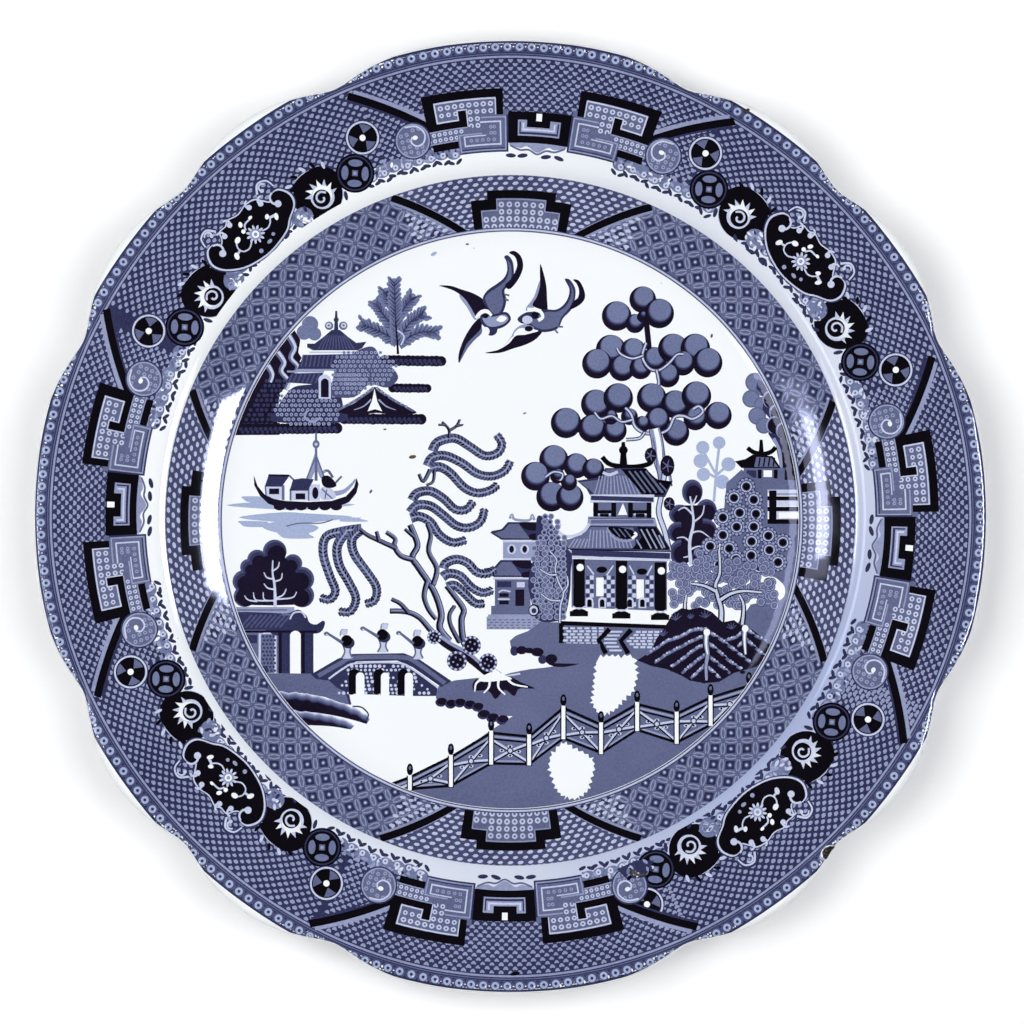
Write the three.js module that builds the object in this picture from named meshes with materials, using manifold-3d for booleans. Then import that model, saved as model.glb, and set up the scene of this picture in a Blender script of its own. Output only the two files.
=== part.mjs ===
// A lobed dinner plate in glazed earthenware, pressed as one piece.
// Millimetres, +Z up. The origin is the centre of the foot ring, on the surface that the plate stands on.
import * as THREE from "three";
import { mergeVertices } from "three/addons/utils/BufferGeometryUtils.js";
import Module from "manifold-3d";

// Outline: four wide lobes on the axes, and two narrow ones between each pair.
const rimRadius = 127; // to the crown of every lobe
const notchDepth = 5; // how far the rim dips at a notch
const notchAngles = [22.5, 45, 67.5]; // in each quarter turn, degrees
const notchReach = 11.25; // degrees from a notch to full radius
const notchRounding = 1.6; // degrees, softens the bottom of a notch
const lobesStart = 100; // inside this radius the plate is round

// Section
const wellRadius = 71; // flat floor of the well
const wellTop = 6; // height of that floor
const shoulderRadius = 91.6; // top of the well's wall
const shoulderTop = 16.6;
const rimStartRadius = 96.2; // where the wall has turned over into the rim
const rimStartTop = 18.6;
const rimTop = 22.6; // height of the rim's upper surface at its edge
const rimThickness = 3.8;
const rimDish = 0.4; // how far the rim hollows between its two edges
const edgeRadius = 1.9; // rounded lip, half the rim's thickness
const wallThickness = 4.9; // measured straight down, where the wall turns over
const footOuter = 79; // foot ring
const footInner = 73.5;
const footLand = 3; // width of the flat that the plate stands on
const recessHeight = 1.7; // hollow under the floor, inside the foot ring
const turns = 96; // segments round the plate
const curveSteps = 5; // along each curve of the section

// Chip knocked out of the lip, just past one notch
const chipAngle = -46.6; // degrees
const chipSize = { along: 2.3, across: 1.7, deep: 1.5 }; // half axes of the scoop
const chipRadius = 122.9;

const radians = THREE.MathUtils.degToRad;

// The closed section as (radius, height) points: drawn from the axis out over the top and back
// underneath, then reversed, so that the revolved faces point out.
function sectionPoints() {
  const lipRadius = rimRadius - edgeRadius;
  const lipHeight = rimTop - edgeRadius;
  const rimMiddleRadius = (rimStartRadius + lipRadius) / 2;
  const rimMiddleTop = (rimStartTop + rimTop) / 2 - rimDish;
  const footMiddle = (footOuter + footInner) / 2;
  const section = new THREE.Path();
  section.moveTo(0, wellTop);
  section.lineTo(wellRadius, wellTop);
  section.bezierCurveTo(
    wellRadius + 6.9, wellTop,
    shoulderRadius - 6.9, shoulderTop - 5.4,
    shoulderRadius, shoulderTop,
  );
  section.quadraticCurveTo(shoulderRadius + 2, shoulderTop + 1.65, rimStartRadius, rimStartTop);
  section.quadraticCurveTo(rimMiddleRadius, rimMiddleTop, lipRadius, rimTop);
  section.absarc(lipRadius, lipHeight, edgeRadius, Math.PI / 2, -Math.PI / 2, true);
  section.quadraticCurveTo(
    rimMiddleRadius, rimMiddleTop - rimThickness,
    rimStartRadius - 1.6, rimStartTop - wallThickness,
  );
  section.bezierCurveTo(
    rimStartRadius - 8.2, rimStartTop - wallThickness - 2.5,
    footOuter + 6.5, recessHeight + 1.7,
    footOuter, recessHeight + 0.9,
  );
  section.lineTo(footMiddle + footLand / 2, 0);
  section.lineTo(footMiddle - footLand / 2, 0);
  section.lineTo(footInner - 1.4, recessHeight);
  section.lineTo(0, recessHeight);
  return section.getPoints(curveSteps).reverse();
}

// 0 at the bottom of a notch, 1 from notchReach away from it.
function lobeFullness(angle) {
  const quarter = THREE.MathUtils.euclideanModulo(THREE.MathUtils.radToDeg(angle), 90);
  const nearest = Math.min(...notchAngles.map((notch) => Math.abs(quarter - notch)));
  const away = Math.hypot(nearest, notchRounding) / notchReach;
  return 1 - (1 - Math.min(1, away)) ** 2;
}

// Revolves the section, then draws the rim in at each notch.
function plateBlank() {
  const geometry = new THREE.LatheGeometry(sectionPoints(), turns);
  geometry.rotateX(Math.PI / 2);
  const position = geometry.getAttribute("position");
  for (let i = 0; i < position.count; i++) {
    const x = position.getX(i);
    const y = position.getY(i);
    const radius = Math.hypot(x, y);
    const share = THREE.MathUtils.smoothstep(radius, lobesStart, rimRadius);
    const drawnIn = notchDepth * share * (1 - lobeFullness(Math.atan2(y, x)));
    if (radius > 0) {
      position.setXY(i, x * (1 - drawnIn / radius), y * (1 - drawnIn / radius));
    }
  }
  return geometry;
}

// The scoop that the chip took away.
function chipScoop() {
  const geometry = new THREE.SphereGeometry(1, 12, 8);
  geometry.scale(chipSize.across, chipSize.along, chipSize.deep);
  geometry.translate(chipRadius, 0, rimTop - 1.1);
  geometry.rotateZ(radians(chipAngle));
  return geometry;
}

const wasm = await Module();
wasm.setup();

function solidFrom(geometry) {
  geometry.deleteAttribute("normal");
  geometry.deleteAttribute("uv");
  const merged = mergeVertices(geometry, 1e-3);
  return new wasm.Manifold(
    new wasm.Mesh({
      numProp: 3,
      vertProperties: merged.getAttribute("position").array,
      triVerts: new Uint32Array(merged.index.array),
    }),
  );
}

function geometryFrom(solid) {
  const { vertProperties, triVerts } = solid.getMesh();
  const geometry = new THREE.BufferGeometry();
  geometry.setAttribute("position", new THREE.BufferAttribute(vertProperties, 3));
  geometry.setIndex(new THREE.BufferAttribute(triVerts, 1));
  geometry.computeVertexNormals();
  return geometry;
}

const glazedEarthenware = new THREE.MeshStandardMaterial({
  color: 0xe9eef6,
  roughness: 0.14,
  metalness: 0,
});

const plate = new THREE.Mesh(
  geometryFrom(solidFrom(plateBlank()).subtract(solidFrom(chipScoop()))),
  glazedEarthenware,
);
plate.name = "plate";

const lobedPlate = new THREE.Group();
lobedPlate.add(plate);

export default lobedPlate;
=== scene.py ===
import math
import random

import bmesh
import bpy
import numpy as np
from mathutils import Matrix, Vector, noise
from mathutils.geometry import delaunay_2d_cdt


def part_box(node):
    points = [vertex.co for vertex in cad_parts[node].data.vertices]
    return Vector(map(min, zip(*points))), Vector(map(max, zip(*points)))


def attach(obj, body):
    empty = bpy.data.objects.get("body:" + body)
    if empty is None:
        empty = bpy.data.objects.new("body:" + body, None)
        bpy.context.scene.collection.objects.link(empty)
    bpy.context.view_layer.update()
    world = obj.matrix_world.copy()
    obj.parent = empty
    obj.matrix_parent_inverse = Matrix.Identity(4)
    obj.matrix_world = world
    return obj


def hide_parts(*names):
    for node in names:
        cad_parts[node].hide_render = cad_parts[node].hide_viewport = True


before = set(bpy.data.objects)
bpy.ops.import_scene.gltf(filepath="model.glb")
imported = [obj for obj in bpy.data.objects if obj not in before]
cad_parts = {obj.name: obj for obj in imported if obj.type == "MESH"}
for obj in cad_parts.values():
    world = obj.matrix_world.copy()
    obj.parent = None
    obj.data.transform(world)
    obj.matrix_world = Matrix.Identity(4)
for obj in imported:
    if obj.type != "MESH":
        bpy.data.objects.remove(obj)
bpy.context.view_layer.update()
plateLow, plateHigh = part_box("plate")
rimRadiusMm = 127
mm = (plateHigh[0] - plateLow[0]) / (2 * rimRadiusMm)  # metres in one millimetre of the plate
scene = bpy.context.scene
random.seed(7)
print("frame loaded, plate", round((plateHigh[0] - plateLow[0]) * 1000, 1), "mm across")


# small helpers

def linear(hexColour):
    channels = [int(hexColour[i:i + 2], 16) / 255 for i in (1, 3, 5)]
    return [c / 12.92 if c <= 0.04045 else ((c + 0.055) / 1.055) ** 2.4 for c in channels] + [1]


def addNode(tree, kind, links=(), **settings):
    # settings named in0, in1... fill sockets by number, the others are node properties
    node = tree.nodes.new("ShaderNode" + kind)
    for key, value in settings.items():
        if key.startswith("in") and key[2:].isdigit():
            node.inputs[int(key[2:])].default_value = value
        else:
            setattr(node, key, value)
    for socket, source in links:
        tree.links.new(source, node.inputs[socket])
    return node


def pointAt(x, y, distance, angle):
    return x + distance * math.cos(angle), y + distance * math.sin(angle)


def polar(radius, degrees):
    return pointAt(0, 0, radius, math.radians(degrees))


def smoothstep(value, low, high):
    t = np.clip((value - low) / (high - low), 0, 1)
    return t * t * (3 - 2 * t)


# the plate's form: one turned section, pressed into twelve lobes

plate = {
    "rimRadius": rimRadiusMm,
    "notchDepth": 5,  # how far the rim is drawn in between two lobes
    "notchAngles": (22.5, 45, 67.5),  # in each quarter turn
    "notchReach": 11.25,
    "notchRounding": 1.6,
    "lobesStart": 100,  # radius at which the rim starts to draw in
    "wellRadius": 71,
    "wellTop": 6,
    "shoulder": (91.6, 16.6),  # top of the well's wall, as radius and height
    "rimStart": (96.2, 18.6),  # where the wall has turned over into the rim
    "lip": (125.1, 22.6),
    "rimDish": 0.4,
    "wallThickness": 4.9,  # measured straight down, where the wall turns over
    "foot": (79, 73.5),  # outer and inner radius of the foot ring
    "recess": 1.7,
    "edgeRadius": 1.9,
    "rimThickness": 3.8,
    "turns": 600,  # sides of the round
    "chipAngle": -46.6,
    "chipRadius": 122.9,
    "chipSize": (1.7, 2.3, 1.5),  # half its width across the rim, along it, and its depth
}


def bezier(points, steps):
    # points of a quadratic or cubic curve, without its first
    result = []
    for i in range(1, steps + 1):
        row = [np.array(p, float) for p in points]
        t = i / steps
        while len(row) > 1:
            row = [a * (1 - t) + b * t for a, b in zip(row, row[1:])]
        result.append(tuple(row[0]))
    return result


def arc(centre, radius, start, end, steps):
    angles = [math.radians(start + (end - start) * i / steps) for i in range(1, steps + 1)]
    return [pointAt(*centre, radius, a) for a in angles]


shoulderR, shoulderZ = plate["shoulder"]
startR, startZ = plate["rimStart"]
lipR, lipZ = plate["lip"]
edge = plate["edgeRadius"]
wellR, wellZ = plate["wellRadius"], plate["wellTop"]
footOut, footIn = plate["foot"]
recess = plate["recess"]
rimMiddle = ((startR + lipR) / 2, (startZ + lipZ) / 2 - plate["rimDish"])
underR, underZ = startR - 1.6, startZ - plate["wallThickness"]
topSection = [(0, wellZ), (wellR / 2, wellZ), (wellR, wellZ)]
wall = [(wellR, wellZ), (wellR + 6.9, wellZ), (shoulderR - 6.9, shoulderZ - 5.4), plate["shoulder"]]
topSection += bezier(wall, 28)
topSection += bezier([plate["shoulder"], (shoulderR + 2, shoulderZ + 1.65), plate["rimStart"]], 10)
topSection += bezier([plate["rimStart"], rimMiddle, plate["lip"]], 24)
topSection += arc((lipR, lipZ - edge), edge, 90, 0, 7)
underSection = arc((lipR, lipZ - edge), edge, 0, -90, 7)
underRim = [(lipR, lipZ - 2 * edge), (rimMiddle[0], rimMiddle[1] - plate["rimThickness"]), (underR, underZ)]
underSection += bezier(underRim, 14)
underWall = [(underR, underZ), (underR - 6.6, underZ - 2.5)]
underWall += [(footOut + 6.5, recess + 1.7), (footOut, recess + 0.9)]
underSection += bezier(underWall, 12)
footMiddle = (footOut + footIn) / 2
underSection += [(footMiddle + 1.5, 0), (footMiddle - 1.5, 0), (footIn - 1.4, recess)]
underSection += [(30, recess), (0, recess)]


def lobeFullness(degrees):
    quarter = np.mod(degrees, 90)
    nearest = np.min([np.abs(quarter - notch) for notch in plate["notchAngles"]], axis=0)
    away = np.hypot(nearest, plate["notchRounding"]) / plate["notchReach"]
    return 1 - (1 - np.minimum(1, away)) ** 2


def drawnIn(radius, degrees):
    reach = smoothstep(radius, plate["lobesStart"], plate["rimRadius"])
    return plate["notchDepth"] * reach * (1 - lobeFullness(degrees))


topRadii = np.array([p[0] for p in topSection])
topHeights = np.array([p[1] for p in topSection])


def surfaceHeight(x, y):
    # height of the glaze over a point seen from above
    radius = np.hypot(x, y)
    degrees = np.degrees(np.arctan2(y, x))
    turned = radius.copy()
    for _ in range(6):
        turned = radius + drawnIn(turned, degrees)
    return np.interp(turned, topRadii, topHeights)


def lobedOutline(inset, sides=720):
    # the plate's edge seen from above, pulled in by inset
    angles = np.arange(sides) * 360 / sides
    rim = float(plate["rimRadius"])
    radii = rim - drawnIn(np.full(sides, rim), angles) - inset
    return [polar(r, a) for r, a in zip(radii, angles)]


def buildBody():
    turns = plate["turns"]
    section = topSection + underSection
    degrees = np.arange(turns) * 360 / turns
    body = bmesh.new()
    rings = []
    for radius, height in section:
        if radius == 0:
            rings.append([body.verts.new((0, 0, height * mm))])
            continue
        actual = radius - drawnIn(np.full(turns, float(radius)), degrees)
        ring = []
        for x, y in map(polar, actual, degrees):
            ring.append(body.verts.new((x * mm, y * mm, height * mm)))
        rings.append(ring)
    for upper, lower in zip(rings, rings[1:]):
        for i in range(turns):
            j = (i + 1) % turns
            corners = [upper[i % len(upper)], lower[i % len(lower)]]
            corners += [lower[j % len(lower)], upper[j % len(upper)]]
            body.faces.new(list(dict.fromkeys(corners)))  # at the middle two corners are one
    bmesh.ops.recalc_face_normals(body, faces=body.faces)
    return body


def chipScoop():
    # rough bite that the chip took out of the lip
    across, along, deep = (size * mm for size in plate["chipSize"])
    scoop = bmesh.new()
    bmesh.ops.create_icosphere(scoop, subdivisions=4, radius=1)
    for vertex in scoop.verts:
        bite = 1 + 0.09 * noise.noise(vertex.co * 2.6) + 0.04 * noise.noise(vertex.co * 7)
        vertex.co = Vector((vertex.co.x * across, vertex.co.y * along, vertex.co.z * deep)) * bite
    centre = Vector((plate["chipRadius"], 0, plate["lip"][1] - 1.1)) * mm
    bmesh.ops.translate(scoop, verts=scoop.verts, vec=centre)
    turn = Matrix.Rotation(math.radians(plate["chipAngle"]), 3, "Z")
    bmesh.ops.rotate(scoop, verts=scoop.verts, matrix=turn)
    return scoop


def meshObject(name, shape, *finishes):
    mesh = bpy.data.meshes.new(name)
    shape.to_mesh(mesh)
    shape.free()
    mesh.shade_smooth()
    mesh.set_sharp_from_angle(angle=math.radians(35))
    for finish in finishes:
        mesh.materials.append(finish)
    piece = bpy.data.objects.new(name, mesh)
    scene.collection.objects.link(piece)
    return piece


def makePlate(glaze, biscuit):
    body = meshObject("glazedPlate", buildBody(), glaze)
    scoop = meshObject("chipScoop", chipScoop(), biscuit)
    cut = body.modifiers.new("chip", "BOOLEAN")
    cut.operation = "DIFFERENCE"
    cut.solver = "EXACT"
    cut.material_mode = "TRANSFER"
    cut.object = scoop
    chipped = bpy.data.meshes.new_from_object(body.evaluated_get(bpy.context.evaluated_depsgraph_get()))
    body.modifiers.clear()
    body.data = chipped
    bpy.data.objects.remove(scoop)
    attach(body, "root")
    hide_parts("plate")
    print("plate turned,", len(chipped.polygons), "faces")


# outlines, in millimetres on the plate seen from above

def box(left, bottom, right, top):
    return [(left, bottom), (right, bottom), (right, top), (left, top)]


def disc(x, y, radius, tall=1.0, lean=0.0):
    sides = int(9 + 5 * radius)
    c, s = math.cos(math.radians(lean)), math.sin(math.radians(lean))
    around = [2 * math.pi * i / sides for i in range(sides)]
    local = [(radius * math.cos(a), radius * tall * math.sin(a)) for a in around]
    return [(x + u * c - v * s, y + u * s + v * c) for u, v in local]


def smooth(points, closed=False, steps=4):
    # a curve that runs through every point
    last = len(points) if closed else len(points) - 1
    result = []
    for i in range(last):
        if closed:
            before, here, there, after = (points[(i + k) % len(points)] for k in (-1, 0, 1, 2))
        else:
            before, here = points[max(i - 1, 0)], points[i]
            there, after = points[i + 1], points[min(i + 2, last)]
        for k in range(steps):
            t = k / steps
            result.append(tuple(
                0.5 * (2 * b + (c - a) * t + (2 * a - 5 * b + 4 * c - d) * t * t
                       + (3 * b - a - 3 * c + d) * t ** 3)
                for a, b, c, d in zip(before, here, there, after)
            ))
    return result if closed else result + [tuple(points[-1])]


def loop(*points):
    return smooth(points, closed=True)


def stroke(width, *points, tip=None, curved=True, steps=4):
    # a band along a line, width at its start and tip at its end
    line = smooth(points, steps=steps) if curved and len(points) > 2 else list(points)
    tip = width if tip is None else tip
    left, right = [], []
    for i, (x, y) in enumerate(line):
        ax, ay = line[max(i - 1, 0)]
        bx, by = line[min(i + 1, len(line) - 1)]
        length = math.hypot(bx - ax, by - ay) or 1
        half = (width + (tip - width) * i / (len(line) - 1)) / 2
        nx, ny = -(by - ay) / length * half, (bx - ax) / length * half
        left.append((x + nx, y + ny))
        right.append((x - nx, y - ny))
    return right + left[::-1]


def ringFrame(centre, reference, middle=(0, 0)):
    # x runs clockwise along the circle of that radius, y is the distance from the middle
    def place(x, y):
        return pointAt(*middle, y, math.radians(centre) - x / reference)
    return place


def levelFrame(centre, radius):
    # x runs clockwise, y outwards, from a point of the rim
    out = math.radians(centre)

    def place(x, y):
        away = radius + y
        return away * math.cos(out) + x * math.sin(out), away * math.sin(out) - x * math.cos(out)
    return place


# the print: every transfer is cut into one thin skin of glazed ink for each strength of blue

printing = {
    "lift": 0.04,  # how far the ink stands over the glaze, so that the two never share a face
    "longest": 1.6,  # longest straight run on the curved parts
    "grid": 1.3,  # spacing of the extra points that follow the curve
    "flatRadius": 69,
}


class PrintSheet:
    def __init__(self, name, limit, inner):
        self.name = name
        self.limit = limit  # nothing is printed outside this outline
        self.inner = inner  # radius of the unprinted middle
        self.shapes = []
        self.place = None

    def ink(self, tone, *outlines):
        for outline in outlines:
            points = outline
            if self.place:
                points = [self.place(x, y) for x, y in splitEdges(outline, 2.5)]
            self.shapes.append((tone, points))


def splitEdges(outline, longest):
    result = []
    for (ax, ay), (bx, by) in zip(outline, outline[1:] + outline[:1]):
        pieces = max(1, math.ceil(math.hypot(bx - ax, by - ay) / longest))
        result += [(ax + (bx - ax) * i / pieces, ay + (by - ay) * i / pieces) for i in range(pieces)]
    return result


def followCurve(outline):
    # long edges are split only where the plate isn't flat
    flat = printing["flatRadius"]
    if all(math.hypot(x, y) < flat for x, y in outline):
        return outline
    return splitEdges(outline, printing["longest"])


def signedArea(outline):
    return sum(ax * by - bx * ay for (ax, ay), (bx, by) in zip(outline, outline[1:] + outline[:1])) / 2


def gridPoints():
    step = printing["grid"]
    count = int(plate["rimRadius"] / step) + 1
    for row in range(-count, count + 1):
        for column in range(-count, count + 1):
            x, y = (column + 0.5 * (row % 2)) * step, row * step * 0.87
            if printing["flatRadius"] < math.hypot(x, y) < plate["rimRadius"]:
                yield x, y


def cutSheet(sheet):
    # topmost tone of every triangle of the overlapping outlines
    outlines = [followCurve(sheet.limit)] + [followCurve(points) for _, points in sheet.shapes]
    tones = ["bare"] + [tone for tone, _ in sheet.shapes]
    points, faces = [], []
    for outline in outlines:
        if signedArea(outline) < 0:
            outline = outline[::-1]
        faces.append(list(range(len(points), len(points) + len(outline))))
        points += outline
    radii = [math.hypot(x, y) for x, y in sheet.limit]
    for x, y in gridPoints():
        if sheet.inner < math.hypot(x, y) < max(radii):
            points.append((x, y))
    found = delaunay_2d_cdt([Vector(p) for p in points], [], faces, 1, 1e-5, True)
    corners, triangles, origins = found[0], found[2], found[5]
    byTone = {}
    for triangle, origin in zip(triangles, origins):
        if 0 in origin:
            tone = tones[max(origin)]
            if tone != "bare":
                byTone.setdefault(tone, []).append(triangle)
    return np.array([tuple(c) for c in corners]), byTone


def liftOntoPlate(xy):
    x, y = xy[:, 0], xy[:, 1]
    z = surfaceHeight(x, y)
    reach = 0.05
    slopeX = (surfaceHeight(x + reach, y) - surfaceHeight(x - reach, y)) / (2 * reach)
    slopeY = (surfaceHeight(x, y + reach) - surfaceHeight(x, y - reach)) / (2 * reach)
    normals = np.stack([-slopeX, -slopeY, np.ones(len(x))], axis=1)
    normals /= np.linalg.norm(normals, axis=1)[:, None]
    return np.stack([x, y, z], axis=1) + normals * printing["lift"], normals


def layPrint(sheet, materials):
    corners, byTone = cutSheet(sheet)
    places, normals = liftOntoPlate(corners)
    for tone, triangles in sorted(byTone.items()):
        used, index = np.unique(np.array(triangles), return_inverse=True)
        index = index.reshape(-1, 3)
        mesh = bpy.data.meshes.new(sheet.name + tone.capitalize())
        mesh.from_pydata((places[used] * mm).tolist(), [], index.tolist())
        mesh.shade_smooth()
        mesh.normals_split_custom_set_from_vertices(normals[used].tolist())
        mesh.materials.append(materials[tone][0])
        piece = bpy.data.objects.new(mesh.name, mesh)
        scene.collection.objects.link(piece)
        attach(piece, "root")
        print("  ", piece.name, len(index), "triangles")
    print(sheet.name, "laid:", len(sheet.shapes), "shapes")


# rim print: four fret transfers and four flower transfers, joined round the rim

rimPrint = {
    "edgeInset": 0.45,  # white line left at the very edge
    "innerRadius": 99.6,  # where the blue ground stops
    "leafyEdge": 94.9,  # where the leaves under the ground are trimmed
    "unprinted": 93,
    "ruler": 105,  # the patterns are measured along a circle of this radius
    "chainRadius": 124,  # the ring chain lies a millimetre further out on the wide lobes
    "chainRings": 243,
    "ringSize": 1.05,
    "chainMargin": 1.7,  # ground outside the chain
    "scaleRows": 22,
    "scaleStep": 1.05,  # between two rows of scales
    "scalesRound": 304,
    "leavesRound": 280,
    "groundInset": 3.6,  # from the chain to the first row of scales
    "fretHalf": 24,  # degrees of heart scales on each side of a fret, leaf scales fill the rest
    "fretCentres": (85.8, -4.6, 269.1, 178.2),
    "flowerCentres": ((132.1, 102.7), (41.3, 104.3), (-50.1, 104.0), (222.8, 103.8)),
}


def chainAt(degrees):
    return rimPrint["chainRadius"] + math.cos(math.radians(4 * degrees))


def ringOf(radiusAt, sides=720):
    angles = [math.radians(i * 360 / sides) for i in range(sides)]
    return [(radiusAt(math.degrees(a)) * math.cos(a), radiusAt(math.degrees(a)) * math.sin(a))
        for a in angles]


def scaleGround(sheet, rows, step, count, outermost, shape, tone="pale", centre=(0, 0), span=(0, 360)):
    # staggered rows of small scales, drawn towards the middle
    for row in range(rows):
        for i in range(count):
            degrees = (i + 0.5 * (row % 2)) * 360 / count
            if (degrees - span[0]) % 360 > span[1] - span[0]:
                continue
            radius = (outermost(degrees) if callable(outermost) else outermost) - row * step
            size = random.uniform(0.9, 1.1)
            sheet.place = ringFrame(degrees, radius, centre)
            sheet.shapes.append((tone, [sheet.place(x * size, radius + y * size) for x, y in shape]))


heartScale = [(-0.72, 0.12), (-0.5, 0.45), (-0.15, 0.32), (0.15, 0.32), (0.5, 0.45), (0.72, 0.12),
    (0.25, -0.5), (-0.25, -0.5)]
leafScale = [(-0.8, 0.0), (-0.5, 0.42), (0.2, 0.5), (0.62, 0.15), (0.1, -0.5), (-0.5, -0.35)]


def drawChain(sheet):
    radiusOut = rimPrint["ringSize"]
    for i in range(rimPrint["chainRings"]):
        degrees = i * 360 / rimPrint["chainRings"]
        radius = chainAt(degrees)
        sheet.place = ringFrame(degrees, radius)
        sheet.ink("wash", disc(0, radius, radiusOut))
        sheet.ink("deep", disc(0, radius, 0.42), [(1.1, radius + 1.3), (1.6, radius + 0.5),
            (2.1, radius + 1.3)], [(1.1, radius - 1.2), (2.1, radius - 1.2), (1.6, radius - 0.5)])
    sheet.place = None


def bandRing(sheet, tone, radiusAt, width, step=3.0):
    # a line right round, laid as short pieces so that none closes on itself
    angles = [i * step for i in range(int(360 / step))]
    for a in angles:
        line = [a + step * k / 3 for k in range(4)]
        outer = [(radiusAt(d) + width / 2, d) for d in line]
        inner = [(radiusAt(d) - width / 2, d) for d in line[::-1]]
        sheet.ink(tone, [polar(r, d) for r, d in outer + inner])


def drawRinglets(sheet, columns, rows, radius=0.62, tone="faint", middle="mid"):
    for y in rows:
        for x in columns:
            sheet.ink(tone, disc(x, y, radius))
            sheet.ink(middle, disc(x, y, radius * 0.42))


def steps(start, stop, step):
    count = int(round(abs(stop - start) / abs(step))) + 1
    return [start + (stop - start) * i / max(1, count - 1) for i in range(count)]


def drawFretHalf(sheet, centre, side, rise):
    # one hooked black key with its dotted filling, side is -1 left of the middle and 1 right of it
    ring = ringFrame(centre, rimPrint["ruler"])
    sheet.place = lambda x, y: ring(-side * x, y + rise)
    ink = sheet.ink
    ink("deep", stroke(3.0, (-46, 119.5), (-30.5, 107)))
    ink("pale", stroke(2.5, (-45.4, 119.9), (-30, 107.5)))
    ink("dark", stroke(1.9, (-46.5, 120), (-29.5, 106)))
    ink("dark", box(-29.9, 104.4, -9.6, 114.1))
    ink("mid", box(-27.2, 106.3, -11.5, 111.9))
    ink("faint", box(-27.2, 106.4, -26.8, 111.8), box(-27.2, 111.4, -11.5, 111.8),
        box(-27.2, 106.3, -21.3, 106.7))
    drawRinglets(sheet, steps(-25.6, -12.8, 1.83), (110.2,), 0.7)
    drawRinglets(sheet, steps(-25.6, -12.8, 1.83), (108.3,), 0.62)
    ink("dark", box(-21.3, 104.4, -19.2, 108.9))
    ink("mid", box(-19.2, 99, -8.4, 108.6), box(-11.5, 107.3, -9.6, 108))
    ink("dark", box(-11.4, 107.2, -9.6, 112.5))
    drawRinglets(sheet, steps(-18.2, -12.8, 1.8), (108.3, 106.4, 104.6), 0.66)
    ink("faint", box(-21.6, 106.3, -21.3, 109.2), box(-21.6, 108.9, -19.0, 109.2),
        box(-19.2, 104.5, -18.9, 109.2), box(-11.7, 107.3, -11.4, 111.8))
    # strip that runs back to the round end
    ink("mid", box(-31, 101.1, -18, 104.4))
    drawRinglets(sheet, steps(-30, -21, 1.5), (103.5, 102), 0.55)
    ink("pale", box(-30.5, 104.2, -19.2, 104.5), box(-30, 101, -22, 101.3))
    ink("dark", box(-29.5, 99.1, -22.2, 101))
    # nested block
    ink("mid", box(-22.2, 97.3, -8.3, 102.8), box(-15.5, 97.3, -8.3, 107.1))
    ink("deep", box(-22.2, 97.3, -8.3, 97.7), box(-21.4, 98.2, -9.2, 98.5), box(-8.8, 97.3, -8.3, 107.1))
    ink("pale", box(-21.9, 97.7, -21.5, 102.5), box(-21.9, 97.8, -8.9, 98.1), box(-9.2, 97.8, -8.8, 106.8),
        box(-15.5, 106.4, -8.8, 106.8), box(-21.9, 102.2, -15.5, 102.6))
    ink("faint", box(-20.6, 99.2, -20.2, 102), box(-20.6, 99.2, -10.2, 99.6),
        box(-10.6, 99.2, -10.2, 105.6), box(-15.8, 105.2, -10.2, 105.6), box(-20.6, 101.7, -14.4, 102))
    drawRinglets(sheet, steps(-18.6, -12.2, 1.6), (100.7,), 0.5, "pale")
    drawRinglets(sheet, (-13, -12), (102.4, 104), 0.5, "pale")
    # round end with its curl
    ink("deep", disc(-34.4, 103.4, 5.0))
    ink("pale", disc(-34.4, 103.4, 4.6))
    ink("mid", disc(-34.4, 103.4, 4.2))
    drawRinglets(sheet, (-37.2, -35.6), (105.4, 103.8, 102.2, 100.7), 0.55, "pale")
    drawRinglets(sheet, (-33.8, -32.2), (106.2, 101.4, 100), 0.55, "pale")
    ink("faint", stroke(0.45, (-35.6, 107.4), (-32.6, 106.9), (-30.9, 104.7), (-31.6, 102.4),
        (-33.6, 101.8), (-34.9, 103.1), (-34.3, 104.5)))
    ink("bare", disc(-33.6, 104.1, 0.75, 0.8))


def drawFretMiddle(sheet, centre):
    sheet.place = ringFrame(centre, rimPrint["ruler"])
    ink = sheet.ink
    ink("dark", box(-8.3, 99.7, 8.3, 108))
    ink("pale", box(-5.7, 101.6, 5.7, 105.8))
    ink("dark", box(-3.3, 103.9, 2.9, 106))
    ink("deep", box(-5.1, 102, 5.1, 102.6), box(-5.3, 102, -4.9, 105.3), box(4.9, 102, 5.3, 105.3))
    ink("faint", box(-4.5, 103, 4.4, 103.5), box(-4.5, 103, -4, 105), box(3.9, 103, 4.4, 105))
    ink("bare", box(-0.9, 105.6, 0.6, 107.6))
    ink("pale", loop((-7.8, 99.6), (-5, 98.3), (-3, 98.8), (0, 97.2), (3, 98.8), (5, 98.3), (7.8, 99.6)))
    ink("mid", stroke(0.5, (-7.8, 99), (-5, 97.8), (-2.5, 97.9), (0, 96.8), (2.5, 97.9), (5, 97.8),
        (7.8, 99)))
    for x in (-7.6, -4.2, 2.6, 6.4):
        ink("deep", disc(x, 96.3, 1.5, 0.38, random.uniform(-18, 18)))


def mottle(sheet, x, y, wide, tall, count):
    # small leaves and petals lying over one another
    for _ in range(count):
        tone = random.choice(("pale", "faint", "mid", "pale", "bare", "deep", "palemid"))
        sheet.ink(tone, disc(x + random.uniform(-wide, wide), y + random.uniform(-tall, tall),
            random.uniform(0.45, 0.95), 0.5, random.uniform(0, 180)))


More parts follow.
